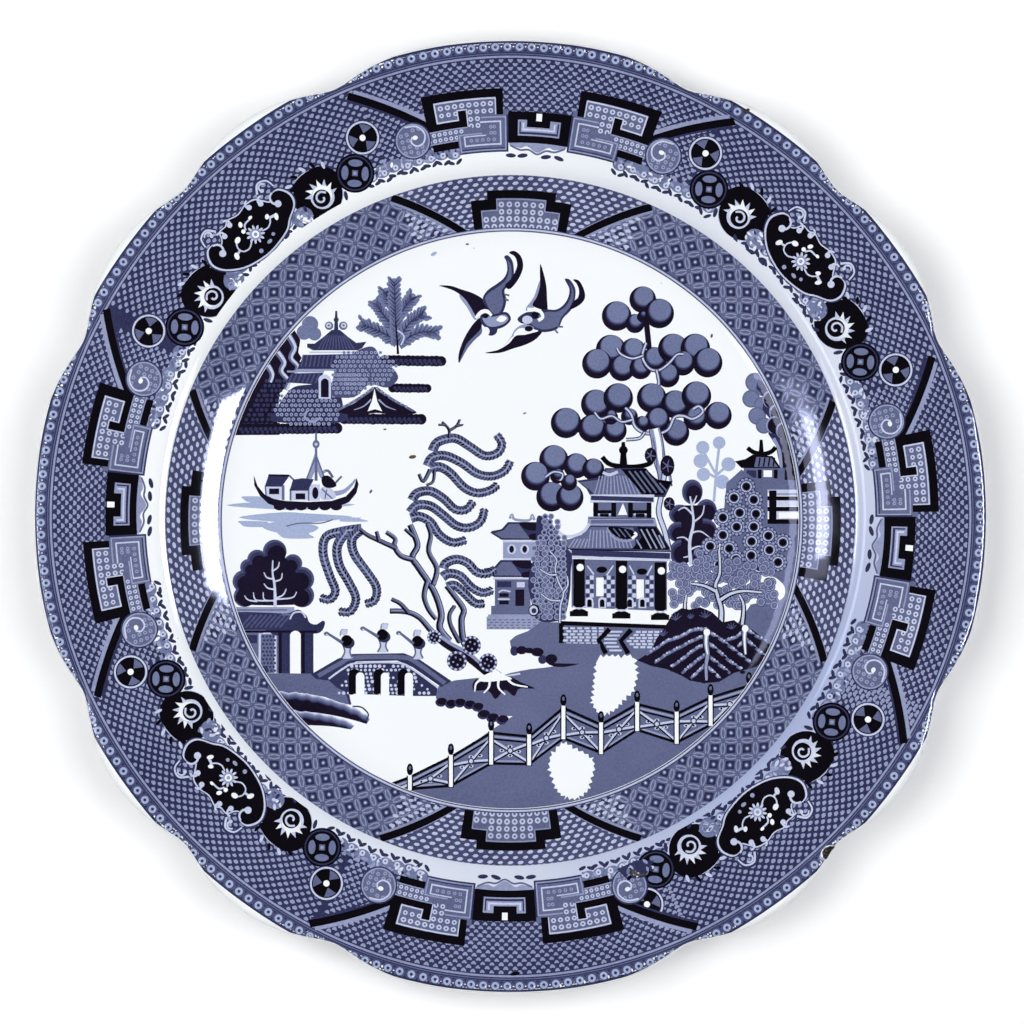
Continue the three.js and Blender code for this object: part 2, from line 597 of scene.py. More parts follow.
def drawFoliage(sheet, centre, start, stop):
    # small leaves and pale blossoms that fringe the inner edge of the print
    sheet.place = ringFrame(centre, rimPrint["ruler"])
    for x in steps(start, stop, 3.6):
        y = 98 + random.uniform(-0.3, 0.5)
        sheet.ink("palemid", disc(x, y + 0.3, 2.2, 0.8))
        mottle(sheet, x, y + 0.5, 1.8, 1.3, 9)
        sheet.ink("faint", disc(x + 0.4, y - 0.3, 0.8))
        sheet.ink("mid", disc(x + 0.4, y - 0.3, 0.3))
        for side in (-1, 1):
            sheet.ink("deep", disc(x + 1.2 * side, y - 2.1 + random.uniform(-0.3, 0.3), 1.15, 0.42,
                random.uniform(10, 50) * side))


def drawPinwheel(sheet, x, y):
    ink = sheet.ink
    ink("deep", disc(x, y, 4.7))
    ink("faint", disc(x, y, 4.4))
    ink("dark", disc(x, y, 3.9))
    for k in range(3):
        a = math.radians(35 + 120 * k)
        spread = [a + math.radians(d) for d in (-27, -9, 9, 27)]
        ink("mid", [pointAt(x, y, 1.2, a)] + [pointAt(x, y, 3.6, b) for b in spread])
    ink("bare", disc(x, y, 0.85))


def curl(sheet, tone, x, y, radius, start, sweep, width=0.55, ball=0.7):
    # a hook that rolls inwards and ends in a ball
    points = []
    for k in range(6):
        a = math.radians(start + sweep * k / 5)
        r = radius * (1 - 0.35 * k / 5)
        points.append(pointAt(x, y, r, a))
    sheet.ink(tone, stroke(width, *points, tip=width * 1.3), disc(*points[-1], ball))


def drawCoin(sheet, x, y):
    ink = sheet.ink
    ink("dark", disc(x, y, 5.2))
    ink("deep", disc(x, y, 4.7))
    ink("dark", disc(x, y, 4.3))
    for k in range(4):
        a = math.radians(45 + 90 * k)
        ink("palemid", disc(*pointAt(x, y, 2.7, a), 1.9, 0.5, math.degrees(a) + 90))
    ink("mid", [(x, y - 1.1), (x + 1.1, y), (x, y + 1.1), (x - 1.1, y)])
    ink("pale", disc(x, y, 0.5))


def drawFernScroll(sheet, x, side):
    # a curled frond, side says which way it opens
    ink = sheet.ink
    ink("faint", disc(x, -4.5, 7.2, 0.95))
    ink("dark", disc(x, -4.7, 6.8, 0.95))
    ink("dark", stroke(2.6, (x + side * 7, -6), (x + side * 5.5, -0.5), (x, 1.4), (x - side * 5.5, 0.6),
        tip=0.9))
    cx, cy = x + side * 0.6, -5.6
    ink("dark", disc(cx, cy - 0.3, 4.6))
    ink("faint", disc(cx, cy - 0.3, 3.2))
    for k in range(7):
        a = math.radians(90 + side * (50 - 26.7 * k))
        leaf = [pointAt(cx, cy, r, a + turn) for r, turn in ((2.8, -0.24), (4.6, 0.12), (2.8, 0.24))]
        ink("bare" if k % 2 else "faint", leaf)
    ink("bare", disc(cx + side * 0.3, cy + 0.1, 2.6))
    coreX, coreY = cx - side * 0.35, cy - 0.4
    ink("dark", disc(coreX, coreY, 2.35))
    curled = [(1.9 - 0.2 * k, 0.2 + 0.85 * k) for k in range(8)]  # radius and angle, winding in
    ink("faint", stroke(0.55, *[(coreX + side * r * math.cos(a), coreY + r * math.sin(a))
        for r, a in curled]))
    for k in range(6):
        a = math.radians(38 + 21 * k)
        ink("dark" if k % 2 else "faint", disc(x + 8.1 * math.cos(a), -4.5 + 7.8 * math.sin(a), 1.05,
            0.42, math.degrees(a) + 35))


def drawCartouche(sheet, centre, radius):
    sheet.place = levelFrame(centre, radius)
    ink = sheet.ink
    for side in (-1, 1):
        drawFernScroll(sheet, 19.3 * side, side)
        drawCoin(sheet, 30.6 * side, -7)
        drawPinwheel(sheet, 38.4 * side, -1.4)
        ink("palemid", disc(12.4 * side, -6.4, 2.9, 0.9))
        mottle(sheet, 12.4 * side, -6.4, 2.4, 2, 26)
        for x, y, lean in ((16, -10.4, 30), (11, -9.6, -30), (7, -9.2, 10), (24.8, -9.8, 60)):
            ink("deep", disc(x * side, y, 1.3, 0.4, lean * side))
    body = [(-13.8, 0.6), (-12.4, 3.6), (-9.9, 4.0), (-8.6, 2.6), (-7.4, 3.6), (-6.6, 5.3), (-4.4, 5.4),
        (-3, 6.2), (0, 5.5), (3, 6.1), (5.8, 5.6), (7.2, 3.9), (8.6, 2.3), (9.8, 3.6), (12.2, 3.4),
        (13.7, 0.6), (12.8, -2.2), (9.4, -4.2), (6.4, -6.1), (0, -7.2), (-5.6, -6.5), (-9.4, -5.0),
        (-12.6, -2.4)]
    ink("deep", loop(*[(x * 1.07, y * 1.1) for x, y in body]))
    ink("faint", loop(*[(x * 1.04, y * 1.06) for x, y in body]))
    ink("dark", loop(*body))
    for side in (-1, 1):
        turn = 90 - 90 * side
        # lobes roll in, with two smaller hooks along the top and one outside
        curl(sheet, "faint", 10.6 * side, 1.9, 2.1, 90, 150 * side, 0.5, 0.95)
        curl(sheet, "faint", 7.2 * side, 4.2, 1.3, turn + 60 * side, 150 * side, 0.5, 0.75)
        curl(sheet, "faint", 4.0 * side, 5.7, 1.2, turn + 80 * side, 150 * side, 0.5, 0.75)
        ink("deep", stroke(1.3, (7.4 * side, 6.4), (9.2 * side, 8.4), (11.6 * side, 7.6), (12.2 * side, 5)))
        ink("faint", stroke(0.6, (7.4 * side, 6.2), (9.2 * side, 8.2), (11.6 * side, 7.4),
            (12.2 * side, 5), tip=0.4))
        curl(sheet, "faint", 9.6 * side, 6.6, 1.2, turn + 20 * side, 200 * side, 0.4, 0.5)
    # sprigs round the flower
    ink("faint", stroke(0.4, (2, -1.8), (3.6, -2.2), (5, -1.6), (5.9, -0.4)),
        stroke(0.7, (5.2, 0.4), (6, -0.6), (7.2, -0.9)))
    ink("bare", disc(5.4, 0.1, 0.75, 0.7, 40), disc(7.3, -1.5, 0.95, 0.6, 60))
    ink("faint", stroke(0.4, (-2, -2), (-3.6, -3), (-5.4, -2.6), (-6, -1), (-5.2, 0.6)),
        stroke(0.6, (-6, -1.8), (-7, -2)))
    ink("bare", disc(-4.6, 0.7, 0.95, 0.75, 20), disc(-7.6, -2.3, 1.0, 0.65, 70))
    ink("faint", stroke(0.5, (-1.2, 1.2), (-0.4, 2.5), (1.6, 2.7)))
    ink("bare", disc(-1.3, 3.2, 0.8, 0.7, 60), disc(1.9, 2.9, 0.6, 0.7), disc(-1.9, 1.4, 0.6))
    ink("pale", disc(1.6, -5.2, 0.8, 0.6), disc(3.6, -4.4, 0.5), disc(-1.8, -5.6, 0.6))
    for k in range(11):
        a = k * 2 * math.pi / 11
        ink("faint", disc(*pointAt(0, -1.3, 1.7, a), 0.85, 0.4, math.degrees(a)))
    ink("pale", disc(0, -1.3, 1.5))
    ink("bare", disc(0, -1.3, 1.0))
    ink("pale", disc(0, -1.3, 0.5))


def drawRim():
    sheet = PrintSheet("rimPrint", lobedOutline(rimPrint["edgeInset"]), rimPrint["unprinted"])
    ink = sheet.ink
    ink("deep", ringOf(lambda d: chainAt(d) + rimPrint["chainMargin"]))
    bandRing(sheet, "deepmid", lambda d: chainAt(d) - 0.1, 2.6)
    drawChain(sheet)
    bandRing(sheet, "pale", lambda d: chainAt(d) - 2.6, 0.55)
    bandRing(sheet, "mid", lambda d: chainAt(d) - 1.85, 0.3)
    half = rimPrint["fretHalf"]
    for centre in rimPrint["fretCentres"]:
        for count, shape, span in (
            (rimPrint["scalesRound"], heartScale, (centre - half, centre + half)),
            (rimPrint["leavesRound"], leafScale, (centre + half, centre + 90 - half)),
        ):
            scaleGround(sheet, rimPrint["scaleRows"], rimPrint["scaleStep"], count,
                lambda d: chainAt(d) - rimPrint["groundInset"], shape, span=span)
    sheet.place = None
    ink("bare", ringOf(lambda d: rimPrint["innerRadius"], 360))
    for centre in rimPrint["fretCentres"]:
        for side in (-1, 1):
            drawFoliage(sheet, centre, 24 * side, 52 * side)
    for centre, radius in rimPrint["flowerCentres"]:
        drawFoliage(sheet, centre, -16, 16)
        drawCartouche(sheet, centre, radius)
    for centre in rimPrint["fretCentres"]:
        drawFretHalf(sheet, centre, -1, 0)
        drawFretHalf(sheet, centre, 1, 0.9)
        drawFretMiddle(sheet, centre)
    # where the flower transfer overlaps the fret at the lower right, and the stain it left
    sheet.place = ringFrame(-70.4, rimPrint["ruler"])
    ink("deep", [(-5.6, 99.4), (-1.4, 102.6), (3.4, 101.4), (5.2, 98.2), (-1, 97.6)])
    mottle(sheet, -0.6, 100.2, 3.6, 1.5, 14)
    ink("iron", stroke(0.5, (-1.6, 101.8), (0.4, 101.2), (1.2, 99.6), tip=0.9))
    ink("dark", disc(2.6, 101.4, 0.8, 0.6, 30))
    sheet.place = None
    ink("bare", ringOf(lambda d: rimPrint["leafyEdge"], 360))
    ink("iron", disc(62.9, 107.9, 0.9, 0.6, 40))
    ink("dark", disc(1.2, -121.7, 1.4, 0.35, 10))
    # the chip took its ink with it
    sheet.place = levelFrame(plate["chipAngle"], plate["chipRadius"])
    across, along = plate["chipSize"][:2]
    ink("bare", disc(0, 0, along * 0.93, across / along))
    return sheet


# inner border: lattice round the slope between well and rim, with four stepped frames

innerBorder = {
    "middle": (0, -1.0),  # the transfer was laid a little off centre
    "outer": 92.2,
    "inner": 78.6,
    "unprinted": 75,
    "frameCentres": (88, -2, -90, 180),
    "frameRuler": 83,  # the frames are measured along a circle of this radius
    "latticeRadius": 85,  # middle row of the lattice
    "cellPitch": 6.15,  # along that row
    "rowStep": 2.9,
}


def borderRing(radius):
    x0, y0 = innerBorder["middle"]
    return [(x0 + x, y0 + y) for x, y in ringOf(lambda d: radius, 480)]


def drawLattice(sheet):
    middleRow = innerBorder["latticeRadius"]
    count = int(2 * math.pi * middleRow / innerBorder["cellPitch"])
    for row in range(-2, 3):
        radius = middleRow + row * innerBorder["rowStep"]
        for i in range(count):
            degrees = (i + 0.5 * (row % 2)) * 360 / count
            sheet.place = ringFrame(degrees, middleRow, innerBorder["middle"])
            ink = sheet.ink
            ink("deep", [(0, radius - 1.5), (1.7, radius), (0, radius + 1.5), (-1.7, radius)])
            ink("mid", disc(0, radius, 0.62))
            ink("faint", disc(0, radius, 0.32))
            for side in (-1, 1):
                x, y = 1.53 * side, radius + 1.45
                for bow in (-0.55, 0.55):
                    u, v = bow * side * 0.7, bow * 0.72
                    ink("pale", stroke(0.34, (x - 1.1 * side + u * 0.4, y + 1.04 + v * 0.4),
                        (x + u, y + v), (x + 1.1 * side + u * 0.4, y - 1.04 + v * 0.4)))
    sheet.place = None


def drawSteppedFrame(sheet, centre):
    ring = ringFrame(centre, innerBorder["frameRuler"], innerBorder["middle"])
    sheet.place = ring
    ink = sheet.ink
    ink("deepmid", [(-32.6, 92), (-15.2, 77.2), (15.2, 77.2), (32.6, 92)])
    sheet.place = None
    span = math.degrees(31 / innerBorder["frameRuler"])
    grain = [(-0.85, -0.1), (-0.4, 0.35), (0.4, 0.45), (0.85, 0.1), (0.4, -0.35), (-0.4, -0.45)]
    scaleGround(sheet, 11, 1.3, 212, 91.4, grain, "faint", innerBorder["middle"],
        (centre - span, centre + span))
    sheet.place = ring
    for side in (-1, 1):
        ink("pale", stroke(2.7, (32.3 * side, 91.6), (15.6 * side, 77.4)))
        ink("dark", stroke(1.9, (32.2 * side, 91.8), (15.2 * side, 77.3)))
    ink("dark", box(-13.2, 77.4, 13, 86.1), box(-8.9, 83, 8.7, 88.3))
    ink("mid", box(-10.8, 77.4, 10.4, 83.3), box(-6.6, 83, 6.4, 86.2))
    ink("pale", box(-10.8, 77.6, -10.5, 83.3), box(10.1, 77.6, 10.4, 83.3), box(-10.8, 83, -6.4, 83.3),
        box(6.2, 83, 10.4, 83.3), box(-6.6, 83, -6.3, 86.2), box(6.1, 83, 6.4, 86.2),
        box(-6.6, 85.8, 6.4, 86.2))
    drawRinglets(sheet, steps(-9.6, 9.4, 2.1), (78.8, 80.8), 0.8)
    drawRinglets(sheet, steps(-5.3, 5.2, 2.1), (82.7, 84.6), 0.75)
    sheet.place = None


def drawInnerBorder():
    sheet = PrintSheet("innerBorder", borderRing(innerBorder["outer"]), innerBorder["unprinted"])
    sheet.ink("mid", sheet.limit)
    drawLattice(sheet)
    for centre in innerBorder["frameCentres"]:
        drawSteppedFrame(sheet, centre)
    # ruled rings, each laid over the one before
    for tone, inwards in (("deep", 0), ("pale", 0.25), ("faint", 0.4), ("deepmid", 0.8), ("bare", 1.15)):
        sheet.ink(tone, borderRing(innerBorder["inner"] - inwards))
    return sheet


# landscape: the picture in the well, drawn back to front

def hatch(sheet, tone, width, start, end, along, count):
    # parallel strokes, each the last one moved by along
    (ax, ay), (bx, by) = start, end
    for i in range(count):
        dx, dy = along[0] * i, along[1] * i
        sheet.ink(tone, stroke(width, (ax + dx, ay + dy), (bx + dx, by + dy)))


def drawSkyBirds(ink):
    # left bird: wings, body, forked tail, head
    ink("pale", loop((-13.8, 59.4), (-11.6, 56), (-9.6, 52.8), (-8.4, 54.4), (-11, 59.6)))
    ink("night", loop((-19.2, 62), (-16, 61.9), (-13.3, 61), (-10, 59.9), (-7.3, 58.2), (-5.7, 55.4),
        (-7.6, 55), (-9.3, 53.9), (-10.6, 56), (-12.4, 58.6), (-15, 60.5), (-17.4, 61.4)))
    ink("mid", loop((-13.9, 41.2), (-11.6, 45), (-9.6, 47.4), (-7.7, 49.3), (-8.2, 51.5), (-11, 50)))
    ink("night", loop((-13.9, 41.3), (-13.9, 43.6), (-12.8, 47), (-11.3, 49.8), (-9.4, 52.4),
        (-7.7, 53.4), (-7.9, 50.6), (-9.6, 48.6), (-11.7, 46.4), (-12.9, 43.6)))
    ink("deep", loop((-7.5, 58.2), (-6.3, 60.6), (-3.6, 62.5), (-1.8, 64), (-0.9, 66), (-1.1, 68.4),
        (-1.7, 69.7), (-0.7, 70.1), (0.5, 68.6), (0.9, 66), (0.6, 62.8), (-1.6, 60.8), (-1.1, 58),
        (-2.2, 54.6), (-4.6, 53.7), (-6.2, 55.8)))
    ink("mid", loop((-6.8, 58.2), (-5.8, 60), (-3.4, 61.6), (-1.2, 63.6), (-0.4, 66.4), (-0.9, 69),
        (0.2, 67), (0, 63.4), (-2.3, 60.8), (-1.9, 57.6), (-3, 54.7), (-4.8, 54.6)))
    ink("night", loop((-0.4, 70.8), (1, 71.3), (2.7, 70), (3.4, 67.4), (2.7, 64.8), (1.2, 62.4),
        (-0.4, 61), (-1.5, 62.1), (0, 63.6), (1.1, 65.4), (1.8, 67.6), (1.2, 69.7)))
    ink("mid", stroke(0.5, (-1.4, 59.6), (-0.3, 59.3)), stroke(0.5, (-1.5, 58.5), (-0.5, 57.9)))
    ink("deep", disc(-5.2, 50.2, 1.7, 1.0), loop((-7.9, 54.2), (-7.8, 51.8), (-5.5, 50.2), (-2, 50.8),
        (0.1, 52.9), (-1.2, 54.9), (-4.4, 54.3)))
    ink("bare", disc(-6.6, 49.7, 1.0, 1.2))
    ink("pale", loop((-7.4, 53.8), (-7, 52), (-5.2, 50.9), (-2.2, 51.5), (-0.6, 52.9), (-1.6, 54.2),
        (-4.6, 53.6)))
    ink("bare", loop((-3.8, 52.7), (-2.6, 53.9), (-1, 53.3), (-2.2, 52.2)))
    ink("night", disc(-6.8, 53.9, 0.9, 0.8))
    ink("bare", stroke(0.8, (-9.3, 53.2), (-8, 54.9), (-6.3, 55.2), (-5.1, 53.9)))
    # right bird
    ink("pale", loop((7.9, 63.4), (6.3, 59), (4.3, 56.2), (4.4, 55.2), (6.6, 56.4), (8.2, 60)))
    ink("night", loop((8, 67.8), (8.9, 65.2), (9.6, 62), (9.8, 58.4), (9.9, 54.8), (8.4, 55.5),
        (5.9, 56.7), (7.1, 59), (7.9, 62), (7.9, 65)))
    ink("deep", loop((9.4, 55.6), (12, 55.5), (14, 56.6), (15.4, 58.6), (15.8, 61), (14.9, 62.9),
        (14.6, 63.8), (16, 63.5), (17.4, 61), (17.2, 58), (16.2, 55.4), (14.1, 53.2), (13, 50.8),
        (11.3, 49.8), (8.3, 49.5), (5.7, 50.6), (4.2, 51.6), (2.6, 52), (1.9, 53.2), (4, 54.7), (6, 55)))
    ink("mid", loop((9.6, 54.9), (12.3, 54.9), (14.6, 56.2), (16, 58.4), (16.4, 61), (15.6, 63),
        (16.9, 60.6), (16.4, 57), (13.7, 53.5), (12.4, 51), (8.6, 50.2), (5.6, 51.6), (6, 53)))
    ink("night", loop((16.8, 63.6), (18.4, 63.3), (19.6, 61.2), (20, 58.8), (18.7, 56.9), (16, 55.6),
        (16.8, 57.6), (18.1, 58.8), (18.4, 60.7), (17.8, 62.4)))
    ink("pale", loop((-2, 45.6), (0, 48), (1.4, 50.4), (3.8, 51.6), (6.4, 50.6), (4, 49.4), (1, 48.6)))
    ink("bare", loop((0.8, 48.6), (2.4, 50.5), (5.4, 50.2), (7.4, 49.9), (4, 49)))
    ink("night", disc(4.9, 50.4, 1.1, 0.7), loop((-6.9, 43.9), (-3.4, 44.7), (-0.4, 46.5), (1.4, 48.5),
        (4, 48.8), (8.4, 49.8), (6.8, 47.6), (4, 46.1), (0.8, 45.1), (-3, 43.9)))
    ink("faint", disc(4.5, 52.8, 1.4, 0.8))
    ink("deep", disc(2.6, 53, 0.6))
    ink("bare", stroke(0.9, (4.5, 55.6), (6.4, 55.5), (8.1, 54.9), (8.6, 53.5), (7.4, 52.6)))
    ink("night", disc(6.6, 54, 1.0))
    ink("mid", stroke(0.5, (12.6, 51), (14.1, 50.9)), stroke(0.5, (11.9, 50.2), (12.7, 49.2)))


def ridge(ink, points, width=0.95):
    # a lumpy pale edge with the dark under it
    walked = smooth(points, steps=5)
    ink("mid", stroke(width, *[(x, y - 0.1) for x, y in points], tip=width * 0.75))
    for i in range(0, len(walked) - 1, 2):
        x, y = walked[i]
        ink("pale", disc(x, y + 0.1, width * random.uniform(0.38, 0.52), 0.9))
    for i in range(3, len(walked), 4):
        x, y = walked[i]
        ink("faint", disc(x, y + 0.25, width * 0.32))
        ink("night", disc(x + 0.3, y - 0.9, width * 0.8, 0.62))


def ringCloud(ink, x, y, wide, tall, pitch, size):
    # small rings packed into an oval
    rows = int(2 * tall / pitch)
    for row in range(rows + 1):
        for column in range(int(2 * wide / pitch) + 1):
            u = -wide + (column + 0.5 * (row % 2)) * pitch + random.uniform(-0.15, 0.15)
            v = -tall + row * pitch
            if (u / wide) ** 2 + (v / tall) ** 2 < 1:
                ink("pale", disc(x + u, y + v, size))
                ink("deepmid", disc(x + u, y + v, size * 0.4))


def lumps(ink, start, stop, radius, pitch, tones=("deep", "night")):
    # a row of overlapping clods, the shadow tone under the other
    (ax, ay), (bx, by) = start, stop
    count = max(1, round(math.hypot(bx - ax, by - ay) / pitch))
    for i in range(count + 1):
        x, y = ax + (bx - ax) * i / count, ay + (by - ay) * i / count
        ink(tones[0], disc(x, y, radius * random.uniform(0.95, 1.05)))
    for i in range(count):
        x, y = ax + (bx - ax) * (i + 0.5) / count, ay + (by - ay) * (i + 0.5) / count
        ink(tones[1], disc(x, y, radius * 0.36), disc(x + 0.5, y - radius * 0.5, radius * 0.3))


def plume(ink, *points):
    # one feathery branch: a soft mass with leaves along both sides
    ink("palemid", stroke(3.6, *points, tip=2.4), disc(*points[-1], 1.4))
    ink("mid", stroke(2.6, *points, tip=1.4))
    walked = smooth(points, steps=5)
    for (ax, ay), (bx, by) in zip(walked, walked[1:]):
        along = math.atan2(by - ay, bx - ax)
        for side in (-1, 1):
            a = along + side * 0.75
            reach = random.uniform(1.5, 2.5)
            ink("palemid", disc(*pointAt(bx, by, reach * 0.9, a), 0.85, 0.6, math.degrees(a)))
            tone = "deepmid" if random.random() < 0.6 else "deep"
            ink(tone, stroke(0.42, (bx, by), pointAt(bx, by, reach, a), tip=0.2))
    ink("deep", stroke(0.4, *points, tip=0.2))


def drawIsland(ink):
    for points in (
        ((-30.2, 47), (-35, 49.6), (-39.4, 51.4)), ((-30.2, 46.4), (-24.6, 49.4), (-20.4, 49.4)),
        ((-30.6, 50), (-34.2, 54.2), (-36, 57)), ((-30, 48), (-26.6, 52.4), (-23.8, 54)),
        ((-30.8, 53), (-28, 56.6), (-26.6, 58.6)), ((-31, 56), (-33, 58.6), (-33.4, 60)),
        ((-30.3, 46), (-30.8, 52), (-31, 57), (-31.2, 62.6)),
    ):
        plume(ink, *points)
    ink("night", stroke(0.7, (-30.2, 43.6), (-30.4, 47), (-30.8, 52), tip=0.3))
    ink("faint", stroke(0.4, (-29.4, 46), (-28.6, 48.4), (-30.4, 50)))
    ink("palemid", disc(-53.8, 51.6, 2.2), disc(-55.4, 49.4, 2), disc(-52.6, 49, 1.8))
    # bars of water
    lumps(ink, (-33.8, 41.9), (-18.6, 41.7), 1.45, 1.3, ("night", "deep"))
    lumps(ink, (-31.6, 34.5), (-22.4, 34.4), 1.25, 1.2, ("night", "deep"))
    lumps(ink, (-44.6, 26.2), (-24, 26.1), 1.45, 1.3, ("night", "deep"))
    # the bluff at the left, with its wet streaks
    ink("night", [(-77, 21.8), (-75, 27), (-70.5, 34.4), (-67, 39.2), (-61, 46.6), (-58, 50),
        (-56.4, 47.4), (-57, 44), (-55.4, 41.6), (-58.5, 36.6), (-62, 33), (-62.6, 25.4), (-62, 21.9)])
    for y in steps(23.4, 36.4, 1.25):
        for x in steps(-72.4 + (y - 23) * 0.52, -62.6 + max(0, y - 33), 1.35):
            ink("deep", disc(x + random.uniform(-0.3, 0.3), y, 0.5))
    lumps(ink, (-73, 23.4), (-46.6, 23.7), 1.5, 1.3, ("night", "deep"))
    for points in (
        ((-62.6, 44.2), (-60.8, 41.4), (-61.6, 39), (-59.6, 36.4), (-60.4, 34)),
        ((-59.6, 48.6), (-58, 45.4), (-59, 42.6), (-57.2, 40.4), (-58, 38.2)),
        ((-65.2, 40.6), (-64, 38.2), (-64.6, 36)),
    ):
        ink("mid", stroke(1.7, *points, tip=1.0))
        ink("faint", stroke(0.8, *[(x + 0.25, y) for x, y in points], tip=0.5))
    ink("bare", [(-55.4, 43.6), (-53, 42.2), (-54.6, 40.6), (-56.6, 41.6)])
    # three roofs
    ink("deep", [(-60.6, 36), (-58.8, 38.4), (-50.2, 38.6), (-51.6, 35.4)],
        [(-57.4, 39.4), (-55.4, 43.4), (-42.8, 43.6), (-44.6, 41), (-44.6, 39.4)])
    for x in steps(-59.6, -52.4, 1.2):
        ink("deepmid", stroke(0.42, (x, 35.8), (x + 1, 38.2)))
    for x in steps(-56.2, -45, 1.15):
        ink("deepmid", stroke(0.42, (x, 40.2), (x + 0.6, 43.4)))
    ink("pale", stroke(0.5, (-60, 38.9), (-50, 38.9)), box(-57.6, 39.1, -44.4, 39.6))
    ink("deep", [(-54.6, 46.4), (-52.6, 46.4), (-50.2, 48.2), (-48, 50.1), (-45.8, 50.1), (-43.6, 48.2),
        (-41.4, 46.6), (-38.7, 46.9), (-39.8, 45.2), (-41, 44.6), (-53, 44.6), (-54.6, 45.4)])
    for x in steps(-51.6, -42, 1.0):
        ink("deepmid", stroke(0.36, (x, 44.9), (-47 + (x + 47) * 0.55, 48.6)))
    ink("faint", box(-54, 43.8, -41, 44.3))
    ink("deep", stroke(0.5, (-46.8, 55.2), (-46.8, 50), tip=1.2), disc(-46.8, 52.8, 0.7))
    for side in (-1, 1):
        ink("mid", disc(-46.8 + 1.9 * side, 51.2, 1.15))
        ink("faint", disc(-46.8 + 2 * side, 51.3, 0.72))
        ink("mid", disc(-46.8 + 2 * side, 51.3, 0.3))
    # dotted rock with its door, and the speckled bush beside it
    ink("deep", loop((-63.4, 25.4), (-62.6, 29), (-60.6, 32.4), (-58, 34.8), (-54, 35.4), (-50, 35.6),
        (-46.4, 34), (-45, 30), (-45, 25.3)))
    ringCloud(ink, -54.2, 29.2, 9.0, 5.6, 1.25, 0.48)
    ink("deepmid", loop((-48.4, 32.6), (-47.8, 36.4), (-46.6, 40.4), (-43.4, 43.2), (-39, 45.4),
        (-36.4, 45.2), (-34.6, 42), (-31.4, 39.6), (-30.2, 37), (-33, 34.6), (-38, 35.4), (-42, 32)))
    ringCloud(ink, -39.4, 39.8, 8.8, 5.4, 1.2, 0.46)
    ringCloud(ink, -43.6, 35.4, 5, 3.4, 1.2, 0.46)
    ink("faint", box(-51.5, 31.6, -48.2, 36.6), disc(-49.9, 36.6, 1.7, 0.9))
    ink("night", box(-50.9, 32, -48.8, 36), disc(-49.85, 36, 1.05))
    ink("deepmid", stroke(0.4, (-37.4, 35), (-37.6, 39), (-36.4, 43)),
        stroke(0.35, (-37.6, 38.6), (-40.4, 41.4)))
    ink("pale", stroke(0.6, (-54.6, 28.4), (-55.2, 26.6), (-53, 25.4), (-51, 26.6)))
    # mound in front
    ink("night", loop((-46.4, 28.2), (-42, 30.4), (-38.6, 33), (-36.4, 34.8), (-33.4, 32.6), (-29, 30),
        (-25.2, 27.8), (-31, 27.2), (-36, 27.8), (-41, 27.2)))
    for side in (-1, 1):
        ridge(ink, ((-36.4 + side * 0.6, 34.4), (-36.4 + side * 4.6, 31.6), (-36.4 + side * 10.4, 28.4)),
            0.8)
        ink("pale", stroke(0.5, (-36.4 + side, 31.4), (-36.4 + side * 3, 29.6),
            (-36.4 + side * 5.6, 28.6), tip=0.2))
    ink("bare", [(-36.5, 34.4), (-35.8, 31), (-34.4, 28.2), (-36.4, 28.8), (-38.4, 28.2), (-37.2, 31)])


